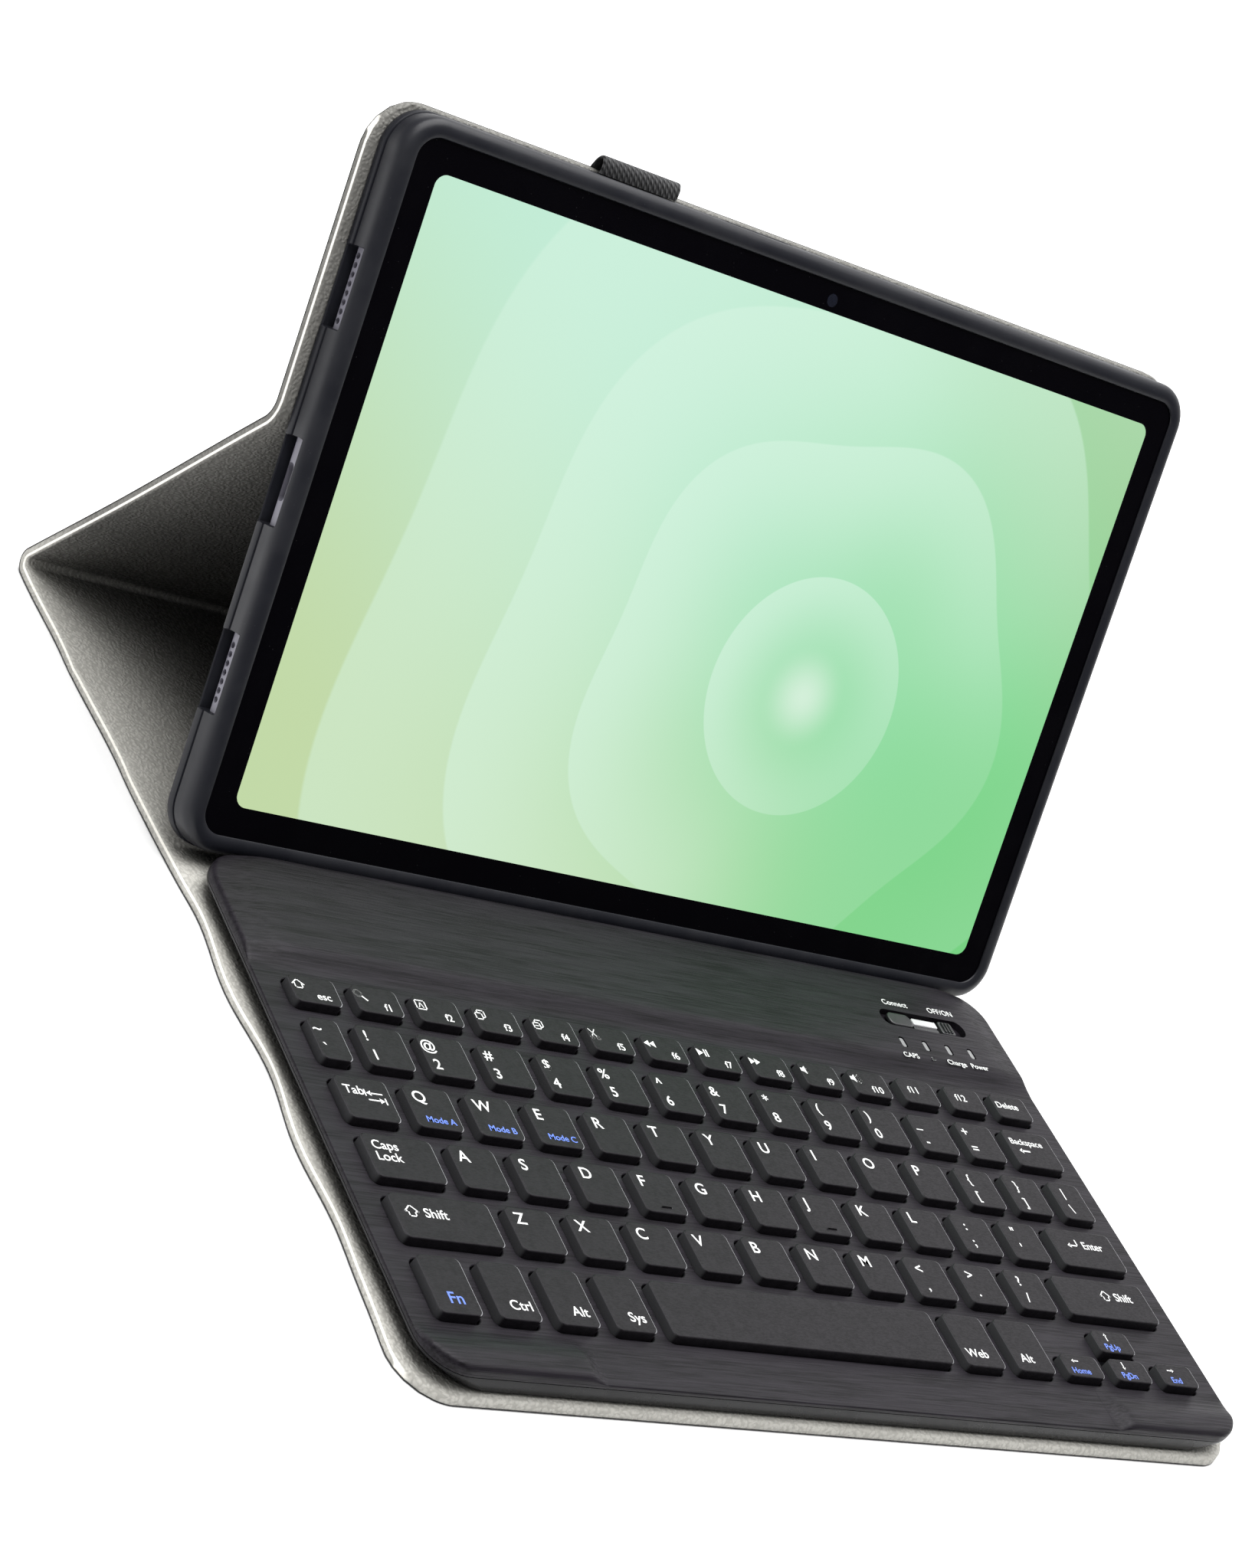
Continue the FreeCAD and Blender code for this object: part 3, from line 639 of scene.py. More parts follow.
WALL = moulded("smooth black wall", (0.003, 0.003, 0.004), (0.004, 0.004, 0.005), 0.28, 0.00001,
               Specular_IOR_Level=0.12)
PLATE = brushed("brushed black plate", (0.0013, 0.0008, 0.0018), (0.0140, 0.0120, 0.0158),
                0.42, 0.00002, 60.0, 2000.0)
KEYS = brushed("brushed key plastic", (0.0058, 0.0050, 0.0064), (0.0105, 0.0093, 0.0114),
               0.46, 0.000008, 900.0, 2600.0, glints=True)
CONTROL = moulded("control plastic", (0.014, 0.014, 0.016), (0.020, 0.020, 0.022), 0.32, 0.00001)
RUBBER = moulded("black foot rubber", (0.015, 0.015, 0.016), (0.022, 0.022, 0.023), 0.8, 0.00003)
MILK = moulded("milky light", (0.45, 0.45, 0.46), (0.55, 0.55, 0.56), 0.25, 0.0, Coat_Weight=0.3)
SMOKE = moulded("smoky window", (0.16, 0.16, 0.165), (0.20, 0.20, 0.205), 0.25, 0.0, Coat_Weight=0.3)
WHITE_INK = moulded("white ink", (0.62, 0.62, 0.62), (0.70, 0.70, 0.70), 0.45, 0.00001)
BLUE_INK = moulded("blue ink", (0.09, 0.17, 0.62), (0.11, 0.20, 0.68), 0.45, 0.00001)


def repaint(node, material):
    """Gives a CAD piece its finish."""
    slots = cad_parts[node].data.materials
    slots.clear()
    slots.append(material)


# ---- folio cover ----

def line_point(at, slope, length):
    """The (y, z) point some way along a slope."""
    return (at[0] + math.cos(slope) * length, at[1] + math.sin(slope) * length)


FOLD_RADII = (2.6, 7.0)
STATION_STEP = 3.0
ARC_STEPS = 12


def folio_stations():
    """The cover's bending line from front edge to top edge, as (s, y, z, slope) with round creases."""
    rise = math.atan2(TOP_FOLD[1] - REAR_CREASE[1], TOP_FOLD[0] - REAR_CREASE[0])
    top = line_point(TOP_FOLD, TRAY_TILT, UPPER_TOP_H - FOLD_H)
    corners = [(COVER_FRONT_Y, COVER_MID), REAR_CREASE, TOP_FOLD, top]
    slopes = [0.0, rise, TRAY_TILT]
    radii = FOLD_RADII
    stations = []
    s = 0.0
    begin = corners[0]
    for k, slope in enumerate(slopes):
        end = corners[k + 1]
        if k < 2:
            turn = slopes[k + 1] - slope
            tangent = radii[k] * math.tan(abs(turn) / 2)
            end = line_point(end, slope, -tangent)
        length = math.dist(begin, end)
        steps = max(2, round(length / STATION_STEP))
        for i in range(steps + 1):
            y, z = line_point(begin, slope, length * i / steps)
            stations.append((s + length * i / steps, y, z, slope))
        s += length
        if k < 2:
            side = 1 if turn > 0 else -1
            centre = line_point(end, slope + side * math.pi / 2, radii[k])
            for i in range(1, ARC_STEPS):
                a = slope + turn * i / ARC_STEPS
                y, z = line_point(centre, a - side * math.pi / 2, radii[k])
                stations.append((s + radii[k] * abs(turn) * i / ARC_STEPS, y, z, a))
            s += radii[k] * abs(turn)
            begin = line_point(corners[k + 1], slopes[k + 1], tangent)
    return stations


STATIONS = folio_stations()
FOLIO_LENGTH = STATIONS[-1][0]
WIDTH_KNOTS = ((0, 127.3), (150, 127.8), (185, 129.2), (225, 131.6), (255, 133.2), (300, 132.6),
               (360, 133.4), (FOLIO_LENGTH, 133.4))


def half_width(s, side):
    """Half the cover's width at s, with round corners and a slightly wavy left edge."""
    for (s0, w0), (s1, w1) in zip(WIDTH_KNOTS, WIDTH_KNOTS[1:]):
        if s <= s1:
            w = w0 + (w1 - w0) * smoothstep((s - s0) / (s1 - s0))
            break
    if side < 0:
        wave = math.sin(s / 6.9 + 0.9) + 0.6 * math.sin(s / 11.3)
        w -= (1.5 + 0.8 * wave) * smoothstep((s - 12) / 20) * smoothstep((165 - s) / 30)
    r = COVER_CORNER_R
    end = min(s, FOLIO_LENGTH - s)
    if end < r:
        w -= r - math.sqrt(max(0.0, r * r - (r - end) ** 2))
    return w


EDGE_STEPS = (0.0, 0.03, 0.1, 0.2, 0.35, 0.55, 0.8, 1.1, 2.0, 5.0)
END_STEPS = EDGE_STEPS[:-2]
CROSS_STEPS = 44
LINING_INSET = 0.12
CREASE_SHARE = 0.6
RISER_SPLIT = 52.0


def cross_positions(s, inset):
    """(x, distance from the edge) across one station, dense at the edges."""
    left = -(half_width(s, -1) - inset)
    right = half_width(s, 1) - inset
    reach = EDGE_STEPS[-1]
    low = [(left + d, d) for d in EDGE_STEPS]
    high = [(right - d, d) for d in reversed(EDGE_STEPS)]
    middle = []
    for i in range(1, CROSS_STEPS):
        x = left + reach + (right - left - 2 * reach) * i / CROSS_STEPS
        middle.append((x, min(x - left, right - x)))
    return low + middle + high


# Each layer's faces are heights over the bending line, by the distance from the cover's edge.

def skin_top(d):
    """The skin's inner face is flat, under the lining."""
    return -0.8


def skin_low(d):
    """The skin's outer face, with a slightly rounded edge."""
    return -0.85 - 0.4 * round_over(d, 0.5)


def lining_top(d):
    """The lining is turned over the edge, so its rim is round and reaches down to the skin."""
    return -0.7 + 1.95 * round_over(d, 0.9)


def lining_low(d):
    """The lining's hidden face is flat, against the skin."""
    return -0.85


def crease_dip(s):
    """Pressed lines where the flat creases are, and a soft swell beside them."""
    dip = 0.0
    for y in (FRONT_CREASE_Y, TAIL_CREASE_Y):
        away = s - (y - COVER_FRONT_Y)
        dip += 0.45 * math.exp(-(away / 1.3) ** 2) + 0.12 * math.exp(-((abs(away) - 4) / 2.0) ** 2)
    return dip


def cover_layer(name, s0, s1, top, low, inset, material, slot, replaces):
    """One layer of the cover between two stations."""
    first = s0 <= 0
    last = s1 >= FOLIO_LENGTH
    chosen = [st for st in STATIONS if s0 < st[0] < s1]
    marks = [s0, s1]
    if first:
        marks += [inset + d for d in END_STEPS]
    if last:
        marks += [FOLIO_LENGTH - inset - d for d in END_STEPS]
    marks = [m for m in marks if inset - 1e-6 <= m <= FOLIO_LENGTH - inset + 1e-6]
    for m in marks:
        for a, b in zip(STATIONS, STATIONS[1:]):
            if a[0] <= m <= b[0]:
                t = (m - a[0]) / max(b[0] - a[0], 1e-9)
                chosen.append((m,) + tuple(p + (q - p) * t for p, q in zip(a[1:], b[1:])))
                break
    chosen = sorted({round(st[0], 4): st for st in chosen}.values())
    chosen = [st for st in chosen if inset - 1e-3 <= st[0] <= FOLIO_LENGTH - inset + 1e-3]
    rings = []
    for s, y, z, slope in chosen:
        normal = Vector((0, -math.sin(slope), math.cos(slope)))
        middle = Vector((0, y, z))
        end = 99.0
        if first:
            end = min(end, s - inset)
        if last:
            end = min(end, FOLIO_LENGTH - inset - s)
        over = []
        under = []
        for x, d in cross_positions(s, inset):
            d = min(d, end)
            over.append(middle + Vector((x, 0, 0)) + normal * (top(d) - crease_dip(s) * CREASE_SHARE))
            under.append(middle + Vector((x, 0, 0)) + normal * low(d))
        rings.append(over + under[::-1])
    verts, faces = loft(rings)
    return piece(name, verts, faces, None, slot, material, replaces)


def camera_circle(n):
    """The camera opening's outline at one depth, in the tray's frame."""
    angles = [math.tau * i / 48 for i in range(48)]
    return [Vector((CAMERA_X + CAMERA_R * math.cos(a), CAMERA_H + CAMERA_R * math.sin(a), n)) for a in angles]


def camera_window():
    """A round tool through the back cover, where the camera looks out."""
    turn = tray_matrix()
    return loft([[(turn @ (v * MM)) / MM for v in camera_circle(n)] for n in (-4.0, 1.6)])


def folio():
    """Skin and lining in four lengths; each crosses one crease and meets the next in mid panel."""
    front = FRONT_CREASE_Y - COVER_FRONT_Y
    tail = TAIL_CREASE_Y - COVER_FRONT_Y
    rear = REAR_CREASE[0] - COVER_FRONT_Y
    riser_mid = rear + RISER_SPLIT
    tail_mid = (tail + rear) / 2
    gusset_mid = (front + tail) / 2
    front_fold = (FRONT_CREASE_Y, COVER_MID)
    tail_fold = (TAIL_CREASE_Y, COVER_MID)
    # label, begin, end, bodies, fold, slopes before and after it in degrees, reach of the bend
    lengths = (
        ("front", 0.0, gusset_mid, ("front_cover", "gusset_front"), front_fold, 0, 0, 4.0),
        ("tail", gusset_mid, tail_mid, ("gusset_front", "gusset_rear"), tail_fold, 0, 0, 4.5),
        ("rear", tail_mid, riser_mid, ("gusset_rear", "riser"), REAR_CREASE, 0, 122.0, 6.0),
        ("top", riser_mid, FOLIO_LENGTH, ("riser", "tray"), TOP_FOLD, 122.0, 64.17, 7.0),
    )
    owned = {"front": ("front_cover", "gusset_front"), "tail": ("gusset_rear",), "rear": ("riser",),
             "top": ("upper_cover",)}
    for label, s0, s1, bodies, crease, slope0, slope1, reach in lengths:
        middle = math.radians((slope0 + slope1) / 2)
        spread = reach * math.cos(math.radians((slope1 - slope0) / 2))
        start = line_point(crease, middle, -spread)
        end = line_point(crease, middle, spread)
        for layer, top, low, inset, material in (("skin", skin_top, skin_low, 0.0, SKIN),
                                                 ("lining", lining_top, lining_low, LINING_INSET, LINING)):
            obj = cover_layer(f"cover_{label}_{layer}", s0, s1, top, low, inset, material,
                              f"cover_{layer}", [f"{n}_{layer}" for n in owned[label]])
            if label == "top":
                obj.data = cut(obj.data, [camera_window()])
            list(bodies)
            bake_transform(obj)


# ---- tray ----

def tray_matrix():
    """From the tray's own frame (x, h, n) to where it stands."""
    up = Vector((0, math.cos(TRAY_TILT), math.sin(TRAY_TILT)))
    origin = Vector((0, *TOP_FOLD)) - up * FOLD_H
    return Matrix.Translation(origin * MM) @ Matrix.Rotation(TRAY_TILT, 4, "X")


def tray_piece(name, verts, faces, slot, material, replaces=(), body="tray", smooth=math.radians(35)):
    """A piece drawn in the tray's frame."""
    obj = piece(name, verts, faces, None, slot, material, replaces, smooth)
    obj.data.transform(tray_matrix())
    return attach(obj, body)


# (outward of the tablet's side, n) round the wall: plain, at a side slot, at a button
WALL_PROFILE = (
    ((-2.90, 10.00), None, None),
    ((-3.00, 10.25), None, None),
    ((-2.85, 10.50), None, None),
    ((-2.30, 10.74), None, None),
    ((-1.40, 10.85), None, None),
    ((-0.40, 10.74), None, None),
    ((0.45, 10.40), None, None),
    ((1.05, 9.85), None, None),
    ((1.40, 9.10), None, (1.40, 9.10)),
    ((1.55, 8.30), (1.50, 8.55), (1.50, 8.42)),
    ((1.60, 7.60), (1.20, 8.40), (0.70, 8.38)),
    ((1.60, 7.00), (0.55, 8.32), (0.70, 7.50)),
    ((1.60, 6.40), (-1.50, 8.25), (0.70, 6.50)),
    ((1.60, 5.80), (-1.50, 6.60), (0.70, 5.50)),
    ((1.60, 5.00), (-1.60, 5.00), (0.70, 4.04)),
    ((1.58, 4.25), (-1.90, 4.00), (1.50, 4.00)),
    ((1.20, 4.02), (-2.20, 3.20), (1.20, 3.95)),
    ((1.20, 3.88), (-2.20, 2.12), (1.20, 3.85)),
    ((1.74, 3.74), (1.30, 2.08), None),
    ((1.95, 3.40), (1.62, 2.00), None),
    ((1.95, 1.80), (1.80, 1.80), None),
    ((1.60, 1.30), (1.60, 1.40), None),
    ((-4.00, 1.28), None, None),
    ((-4.00, 2.90), None, None),
)
VOLUME_SPAN = (-35.35, -14.65)
POWER_SPAN = (34.15, 45.85)


def wall_stations():
    """Places round the tablet's outline: (x, h, outward x, outward h, profile column)."""
    side_marks = []
    for centre, half in ((SLOT_MID - SPEAKER_OFFSET, SPEAKER_HALF), (SLOT_MID, PORT_HALF),
                         (SLOT_MID + SPEAKER_OFFSET, SPEAKER_HALF)):
        side_marks.append((centre - half, centre + half))
    right_marks = [side_marks[0], side_marks[2]]

    def straight(begin, end, spans, column):
        """Positions and columns along one side; spans turn on their column with a short step."""
        step = 0.35 if end > begin else -0.35
        places = [(begin + (end - begin) * i / 16, 0) for i in range(17)]
        for low, high in spans:
            a, b = (low, high) if step > 0 else (high, low)
            places = [p for p in places if not low - 1 < p[0] < high + 1]
            places += [(a - step, 0), (a, column), (a + (b - a) / 3, column),
                       (a + 2 * (b - a) / 3, column), (b, column), (b + step, 0)]
        return sorted(places, reverse=end < begin)

    out = []
    r = TABLET_R
    low = TABLET_LOW + r
    high = TABLET_HIGH - r
    left = -TABLET_HALF + r
    right = TABLET_HALF - r

    def corner(cx, ch, start):
        for i in range(1, 12):
            a = math.radians(start + 90 * i / 12)
            out.append((cx + r * math.cos(a), ch + r * math.sin(a), math.cos(a), math.sin(a), 0))

    for x, column in straight(left, right, (), 0):
        out.append((x, TABLET_LOW, 0, -1, column))
    corner(right, low, 270)
    for h, column in straight(low, high, right_marks, 1):
        out.append((TABLET_HALF, h, 1, 0, column))
    corner(right, high, 0)
    for x, column in straight(right, left, (VOLUME_SPAN, POWER_SPAN), 2):
        out.append((x, TABLET_HIGH, 0, 1, column))
    corner(left, high, 90)
    for h, column in straight(high, low, side_marks, 1):
        out.append((-TABLET_HALF, h, -1, 0, column))
    corner(left, low, 180)
    return out


def tray():
    """The moulded wall with its lip, ledge and notches, and the back plate."""
    rings = []
    for x, h, ox, oh, column in wall_stations():
        points = []
        for row in WALL_PROFILE:
            o, n = row[column] or row[0]
            if h < FOLD_H:
                n = max(n, LEDGE_N)
            points.append(Vector((x + ox * o, h + oh * o, n)))
        rings.append(points)
    verts, faces = loft(rings, closed=True)
    tray_piece("tray_wall", verts, faces, "tray", TRAY, ("tray_shell",))
    outline = ring(-TABLET_HALF + BACK_INSET, TABLET_HALF - BACK_INSET,
                   TABLET_LOW + BACK_INSET, TABLET_HIGH - BACK_INSET, BACK_R, 0, 8)
    back = plate_with_holes(outline, [camera_circle(0)], *BACK_N, 0.2)
    back.transform(tray_matrix())
    finish_piece("tray_back", back, "tray", "tray", TRAY, smooth=None)


def button_covers():
    """Low rubbery covers over the two buttons in the top edge."""
    for name, centre, length in BUTTON_COVERS:
        x0 = centre - length / 2
        block = rounded_block(x0, x0 + length, -8.0, -4.4, 159.0, 160.05, 0.9, 0.35)
        verts = [Vector((v.x, v.z, -v.y)) for v in block[0]]
        tray_piece(f"{name}_pad", verts, block[1], "tray", TRAY, (name,), body=name)


def pen_loop():
    """Elastic band over the top edge as it lies when empty: a leaning arch with rounded ends."""
    half = LOOP_HALF
    # (along the band's width, through its wall) round its section
    ends = ((-half, 0.12), (-half + 0.15, 0.34), (-half + 0.5, 0.4), (0, 0.4), (half - 0.5, 0.4),
            (half - 0.15, 0.34), (half, 0.12), (half, -0.12), (half - 0.15, -0.34), (half - 0.5, -0.4),
            (0, -0.4), (-half + 0.5, -0.4), (-half + 0.15, -0.34), (-half, -0.12))
    rings = []
    steps = 40
    for k in range(steps + 1):
        a = math.pi * k / steps
        rings.append([])
        for x, t in ends:
            rise = (LOOP_RISE + t) * math.sin(a)
            depth = (LOOP_DEPTH + t) * math.cos(a) + LOOP_LEAN * rise
            rings[-1].append(Vector((LOOP_X + x, LOOP_FOOT_H + rise, LOOP_N + depth)))
    verts, faces = loft(rings)
    tray_piece("pen_loop_band", verts, faces, "elastic", ELASTIC, ("pen_loop",))


# ---- keys ----

def run(left, count, y, depth, pitch=PITCH):
    """Boxes of equal keys side by side."""
    return [(left + i * pitch, left + (i + 1) * pitch - KEY_GAP, y, y + depth) for i in range(count)]


def key_boxes():
    """Every key's box under the name of its body, row by row, as in the design."""
    step = (BLOCK_RIGHT - BLOCK_LEFT + KEY_GAP) / 14
    function = run(BLOCK_LEFT, 14, FUNCTION_Y, FUNCTION_DEPTH, step)
    keys = {"key_escape": [function[0]], "keys_function": function[1:13], "key_delete": [function[13]]}
    # front edge, first key and its width, name of the plain keys and their number, last key
    rows = ((-3.2, None, 8.4, "keys_number", 12, "key_backspace"),
            (-20.4, "key_tab", 14.0, "keys_upper", 12, None),
            (-37.2, "key_caps_lock", 19.0, "keys_home", 11, "key_enter"),
            (-53.9, "key_shift_left", 26.9, "keys_lower", 10, "key_shift_right"))
    for y, first, width, name, count, last in rows:
        middle = run(BLOCK_LEFT + width + KEY_GAP, count, y, ROW_DEPTH)
        head = (BLOCK_LEFT, BLOCK_LEFT + width, y, y + ROW_DEPTH)
        tail = (middle[-1][1] + KEY_GAP, BLOCK_RIGHT, y, y + ROW_DEPTH)
        if first:
            keys[first] = [head]
        else:
            middle = [head] + middle
        if last:
            keys[last] = [tail]
        else:
            middle = middle + [tail]
        keys[name] = middle
    y = BOTTOM_Y
    keys["key_function_lock"] = [(BLOCK_LEFT, BLOCK_LEFT + LOCK_WIDTH, y, y + BOTTOM_DEPTH)]
    left = run(BLOCK_LEFT + LOCK_WIDTH + KEY_GAP, 3, y, BOTTOM_DEPTH, BOTTOM_PITCH)
    for name, box in zip(("key_control", "key_alt_left", "key_home_screen"), left):
        keys[name] = [box]
    right = run(BLOCK_RIGHT + KEY_GAP - 5 * PITCH, 5, y, BOTTOM_DEPTH)
    keys["key_space"] = [(left[-1][1] + KEY_GAP, right[0][0] - KEY_GAP, y, y + BOTTOM_DEPTH)]
    keys["key_search"] = [right[0]]
    keys["key_alt_right"] = [right[1]]
    for name, box in zip(("key_left", "key_down", "key_right"), right[2:]):
        keys[name] = [(box[0], box[1], y, y + HALF_DEPTH)]
    down = right[3]
    keys["key_up"] = [(down[0], down[1], y + BOTTOM_DEPTH - HALF_DEPTH, y + BOTTOM_DEPTH)]
    return keys


KEY_BOXES = key_boxes()
HOME_BARS = (3, 6)


def key_caps():
    """Every key cap with its soft top edge; F and J carry a small bar."""
    for name, boxes in KEY_BOXES.items():
        blocks = [rounded_block(*box, KEY_BOTTOM, KEY_TOP, KEY_R, 0.32, draft=0.12) for box in boxes]
        if name == "keys_home":
            for index in HOME_BARS:
                x0, x1, y0, _ = boxes[index]
                mid = (x0 + x1) / 2
                blocks.append(rounded_block(mid - 1.6, mid + 1.6, y0 + 1.7, y0 + 2.1,
                                            KEY_TOP - 0.1, KEY_TOP + 0.22, 0.19, 0.12, steps=3))
        piece(f"{name}_cap", *joined(blocks), name, "key", KEYS, (name,), math.radians(40))


# ---- printed marks ----

INK = 0.015


def text_mesh(words, x, y, size, z, align="LEFT"):
    """Flat printed words, with their baseline at y and their start, middle or end at x."""
    curve = bpy.data.curves.new("words", "FONT")
    curve.body = words
    curve.size = size * MM
    curve.align_x = align
    curve.extrude = INK * MM
    curve.offset = size * MM * 0.012
    obj = bpy.data.objects.new("words", curve)
    bpy.context.scene.collection.objects.link(obj)
    mesh = baked(obj)
    mesh.transform(Matrix.Translation(Vector((x, y, z + INK)) * MM))
    return mesh


def stroke(points, width, closed=False):
    """Outline polygons of a drawn line, one block per stretch."""
    shapes = []
    pairs = list(zip(points, points[1:]))
    if closed:
        pairs.append((points[-1], points[0]))
    for a, b in pairs:
        a = Vector(a)
        b = Vector(b)
        along = (b - a).normalized() * width / 2
        side = Vector((-along.y, along.x))
        shapes.append([a - along - side, b + along - side, b + along + side, a - along + side])
    return shapes


def arc(cx, cy, r, start, end, steps=14):
    """Points along an arc between two angles in degrees."""
    angles = [math.radians(start + (end - start) * i / steps) for i in range(steps + 1)]
    return [(cx + r * math.cos(a), cy + r * math.sin(a)) for a in angles]


def circle(cx, cy, r, width, steps=14):
    """The outline of a drawn circle."""
    return stroke(arc(cx, cy, r, 0, 360, steps), width)


LINE = 0.16
BOX = [(-0.7, -0.7), (0.3, -0.7), (0.3, 0.3), (-0.7, 0.3)]
BOX_BACK = [(0.45, -0.35), (0.75, -0.35), (0.75, 0.75), (-0.3, 0.75), (-0.3, 0.45)]
LEFT_HEAD = [(-0.9, 0), (-0.35, 0.4), (-0.35, -0.4)]


def flipped(points, turns):
    """Points turned by quarter turns."""
    for _ in range(turns):
        points = [(-y, x) for x, y in points]
    return points


def arrow(turns):
    """An arrow to the left, or turned from there."""
    return [flipped(LEFT_HEAD, turns)] + stroke(flipped([(-0.4, 0), (0.7, 0)], turns), 0.24)


def speaker(waves):
    """A loudspeaker with sound waves."""
    shapes = [[(-0.9, -0.3), (-0.5, -0.3), (0.0, -0.7), (0.0, 0.7), (-0.5, 0.3), (-0.9, 0.3)]]
    for i in range(waves):
        shapes += stroke(arc(0.0, 0, 0.35 + 0.3 * i, -50, 50), 0.12)
    return shapes


BOXES = stroke(BOX, LINE, True) + stroke(BOX_BACK, LINE)

ICONS = {
    "home": stroke([(-0.8, 0.0), (0.0, 0.75), (0.8, 0.0)], LINE)
            + stroke([(-0.5, 0.1), (-0.5, -0.6), (0.5, -0.6), (0.5, 0.1)], LINE),
    "lens": circle(-0.2, 0.2, 0.5, LINE, 20) + stroke([(0.2, -0.2), (0.8, -0.8)], 0.22),
    "frame": stroke([(-0.7, -0.7), (0.7, -0.7), (0.7, 0.7), (-0.7, 0.7)], LINE, True)
             + stroke([(-0.3, -0.4), (0, 0.4), (0.3, -0.4)], 0.13),
    "copy": BOXES,
    "paste": BOXES + stroke([(-0.45, -0.2), (0.05, -0.2)], 0.12),
    "cut": stroke([(-0.6, 0.8), (0.3, -0.4)], 0.14) + stroke([(0.3, 0.8), (-0.5, -0.4)], 0.14)
           + circle(-0.55, -0.6, 0.24, 0.13) + circle(0.45, -0.6, 0.24, 0.13),
    "back": [[(-0.9, 0), (0.0, 0.55), (0.0, -0.55)], [(0.0, 0), (0.9, 0.55), (0.9, -0.55)]],
    "play": [[(-0.9, -0.6), (-0.9, 0.6), (0.1, 0)]] + stroke([(0.35, -0.5), (0.35, 0.5)], 0.22)
            + stroke([(0.75, -0.5), (0.75, 0.5)], 0.22),
    "next": [[(-0.9, -0.55), (-0.9, 0.55), (0.0, 0)], [(0.0, -0.55), (0.0, 0.55), (0.9, 0)]],
    "quiet": speaker(1),
    "loud": speaker(3),
    "left": arrow(0),
    "down": arrow(1),
    "right": arrow(2),
    "up": arrow(3),
    "shift": stroke([(0, 0.8), (0.8, 0.0), (0.4, 0.0), (0.4, -0.6), (-0.4, -0.6), (-0.4, 0.0), (-0.8, 0.0)],
                    0.15, True),
    "enter": [[(-0.9, -0.2), (-0.4, 0.15), (-0.4, -0.55)]]
             + stroke([(-0.5, -0.2), (0.7, -0.2), (0.7, 0.6)], 0.18),
    "tab": [[(-0.75, 0.35), (-0.3, 0.62), (-0.3, 0.08)], [(0.75, -0.35), (0.3, -0.62), (0.3, -0.08)]]
           + stroke([(-0.3, 0.35), (0.7, 0.35)], 0.13) + stroke([(-0.85, 0.62), (-0.85, 0.08)], 0.13)
           + stroke([(-0.7, -0.35), (0.3, -0.35)], 0.13) + stroke([(0.85, -0.62), (0.85, -0.08)], 0.13),
    "wave": stroke(arc(-0.5, -0.4, 0.35, 0, 90, 8), 0.16) + stroke(arc(-0.5, -0.4, 0.8, 0, 90, 10), 0.16)
            + circle(-0.5, -0.4, 0.1, 0.16, 10),
}


def icon_mesh(name, x, y, size, z):
    """A printed sign in a square of the given size."""
    bm = bmesh.new()
    for outline in ICONS[name]:
        spots = [(x + px * size / 2, y + py * size / 2) for px, py in outline]
        low = [bm.verts.new(Vector((*spot, z)) * MM) for spot in spots]
        high = [bm.verts.new(Vector((*spot, z + 2 * INK)) * MM) for spot in spots]
        bm.faces.new(low[::-1])
        bm.faces.new(high)
        for i in range(len(low)):
            j = (i + 1) % len(low)
            bm.faces.new((low[i], low[j], high[j], high[i]))
    bmesh.ops.recalc_face_normals(bm, faces=bm.faces)
    mesh = bpy.data.meshes.new("sign")
    bm.to_mesh(mesh)
    bm.free()
    return mesh


def print_marks(name, body, marks, z, slot="key"):
    """Joins a body's marks by ink. A mark is (ink, kind, what, x, y, size), with an align if it is text
    that doesn't start at x."""
    for ink, material in (("white", WHITE_INK), ("blue", BLUE_INK)):
        meshes = []
        for mark in marks:
            if mark[0] != ink:
                continue
            _, kind, what, x, y, size, *align = mark
            if kind == "text":
                meshes.append(text_mesh(what, x, y, size, z, *align))
            else:
                meshes.append(icon_mesh(what, x, y, size, z))
        if meshes:
            finish_piece(f"{name}_{ink}_marks", merged(meshes, name), body, slot, material, smooth=None)


def stacked(boxes, pairs, size, low):
    """Pairs of signs, one above the other, at the left of their keys."""
    marks = []
    for box, pair in zip(boxes, pairs):
        for sign, y in zip(pair, (box[3] - 5.0, box[2] + low)):
            marks.append(("white", "text", sign, box[0] + 4.0, y, size, "CENTER"))
    return marks


def corner_text(box, words, size=4.6, dx=1.8, dy=1.6, ink="white"):
    """A mark in a key's upper left."""
    return (ink, "text", words, box[0] + dx, box[3] - dy - size * 0.72, size)


NUMBER_SIGNS = ("~`", "!1", "@2", "#3", "$4", "%5", "^6", "&7", "*8", "(9", ")0", "_-", "+=")


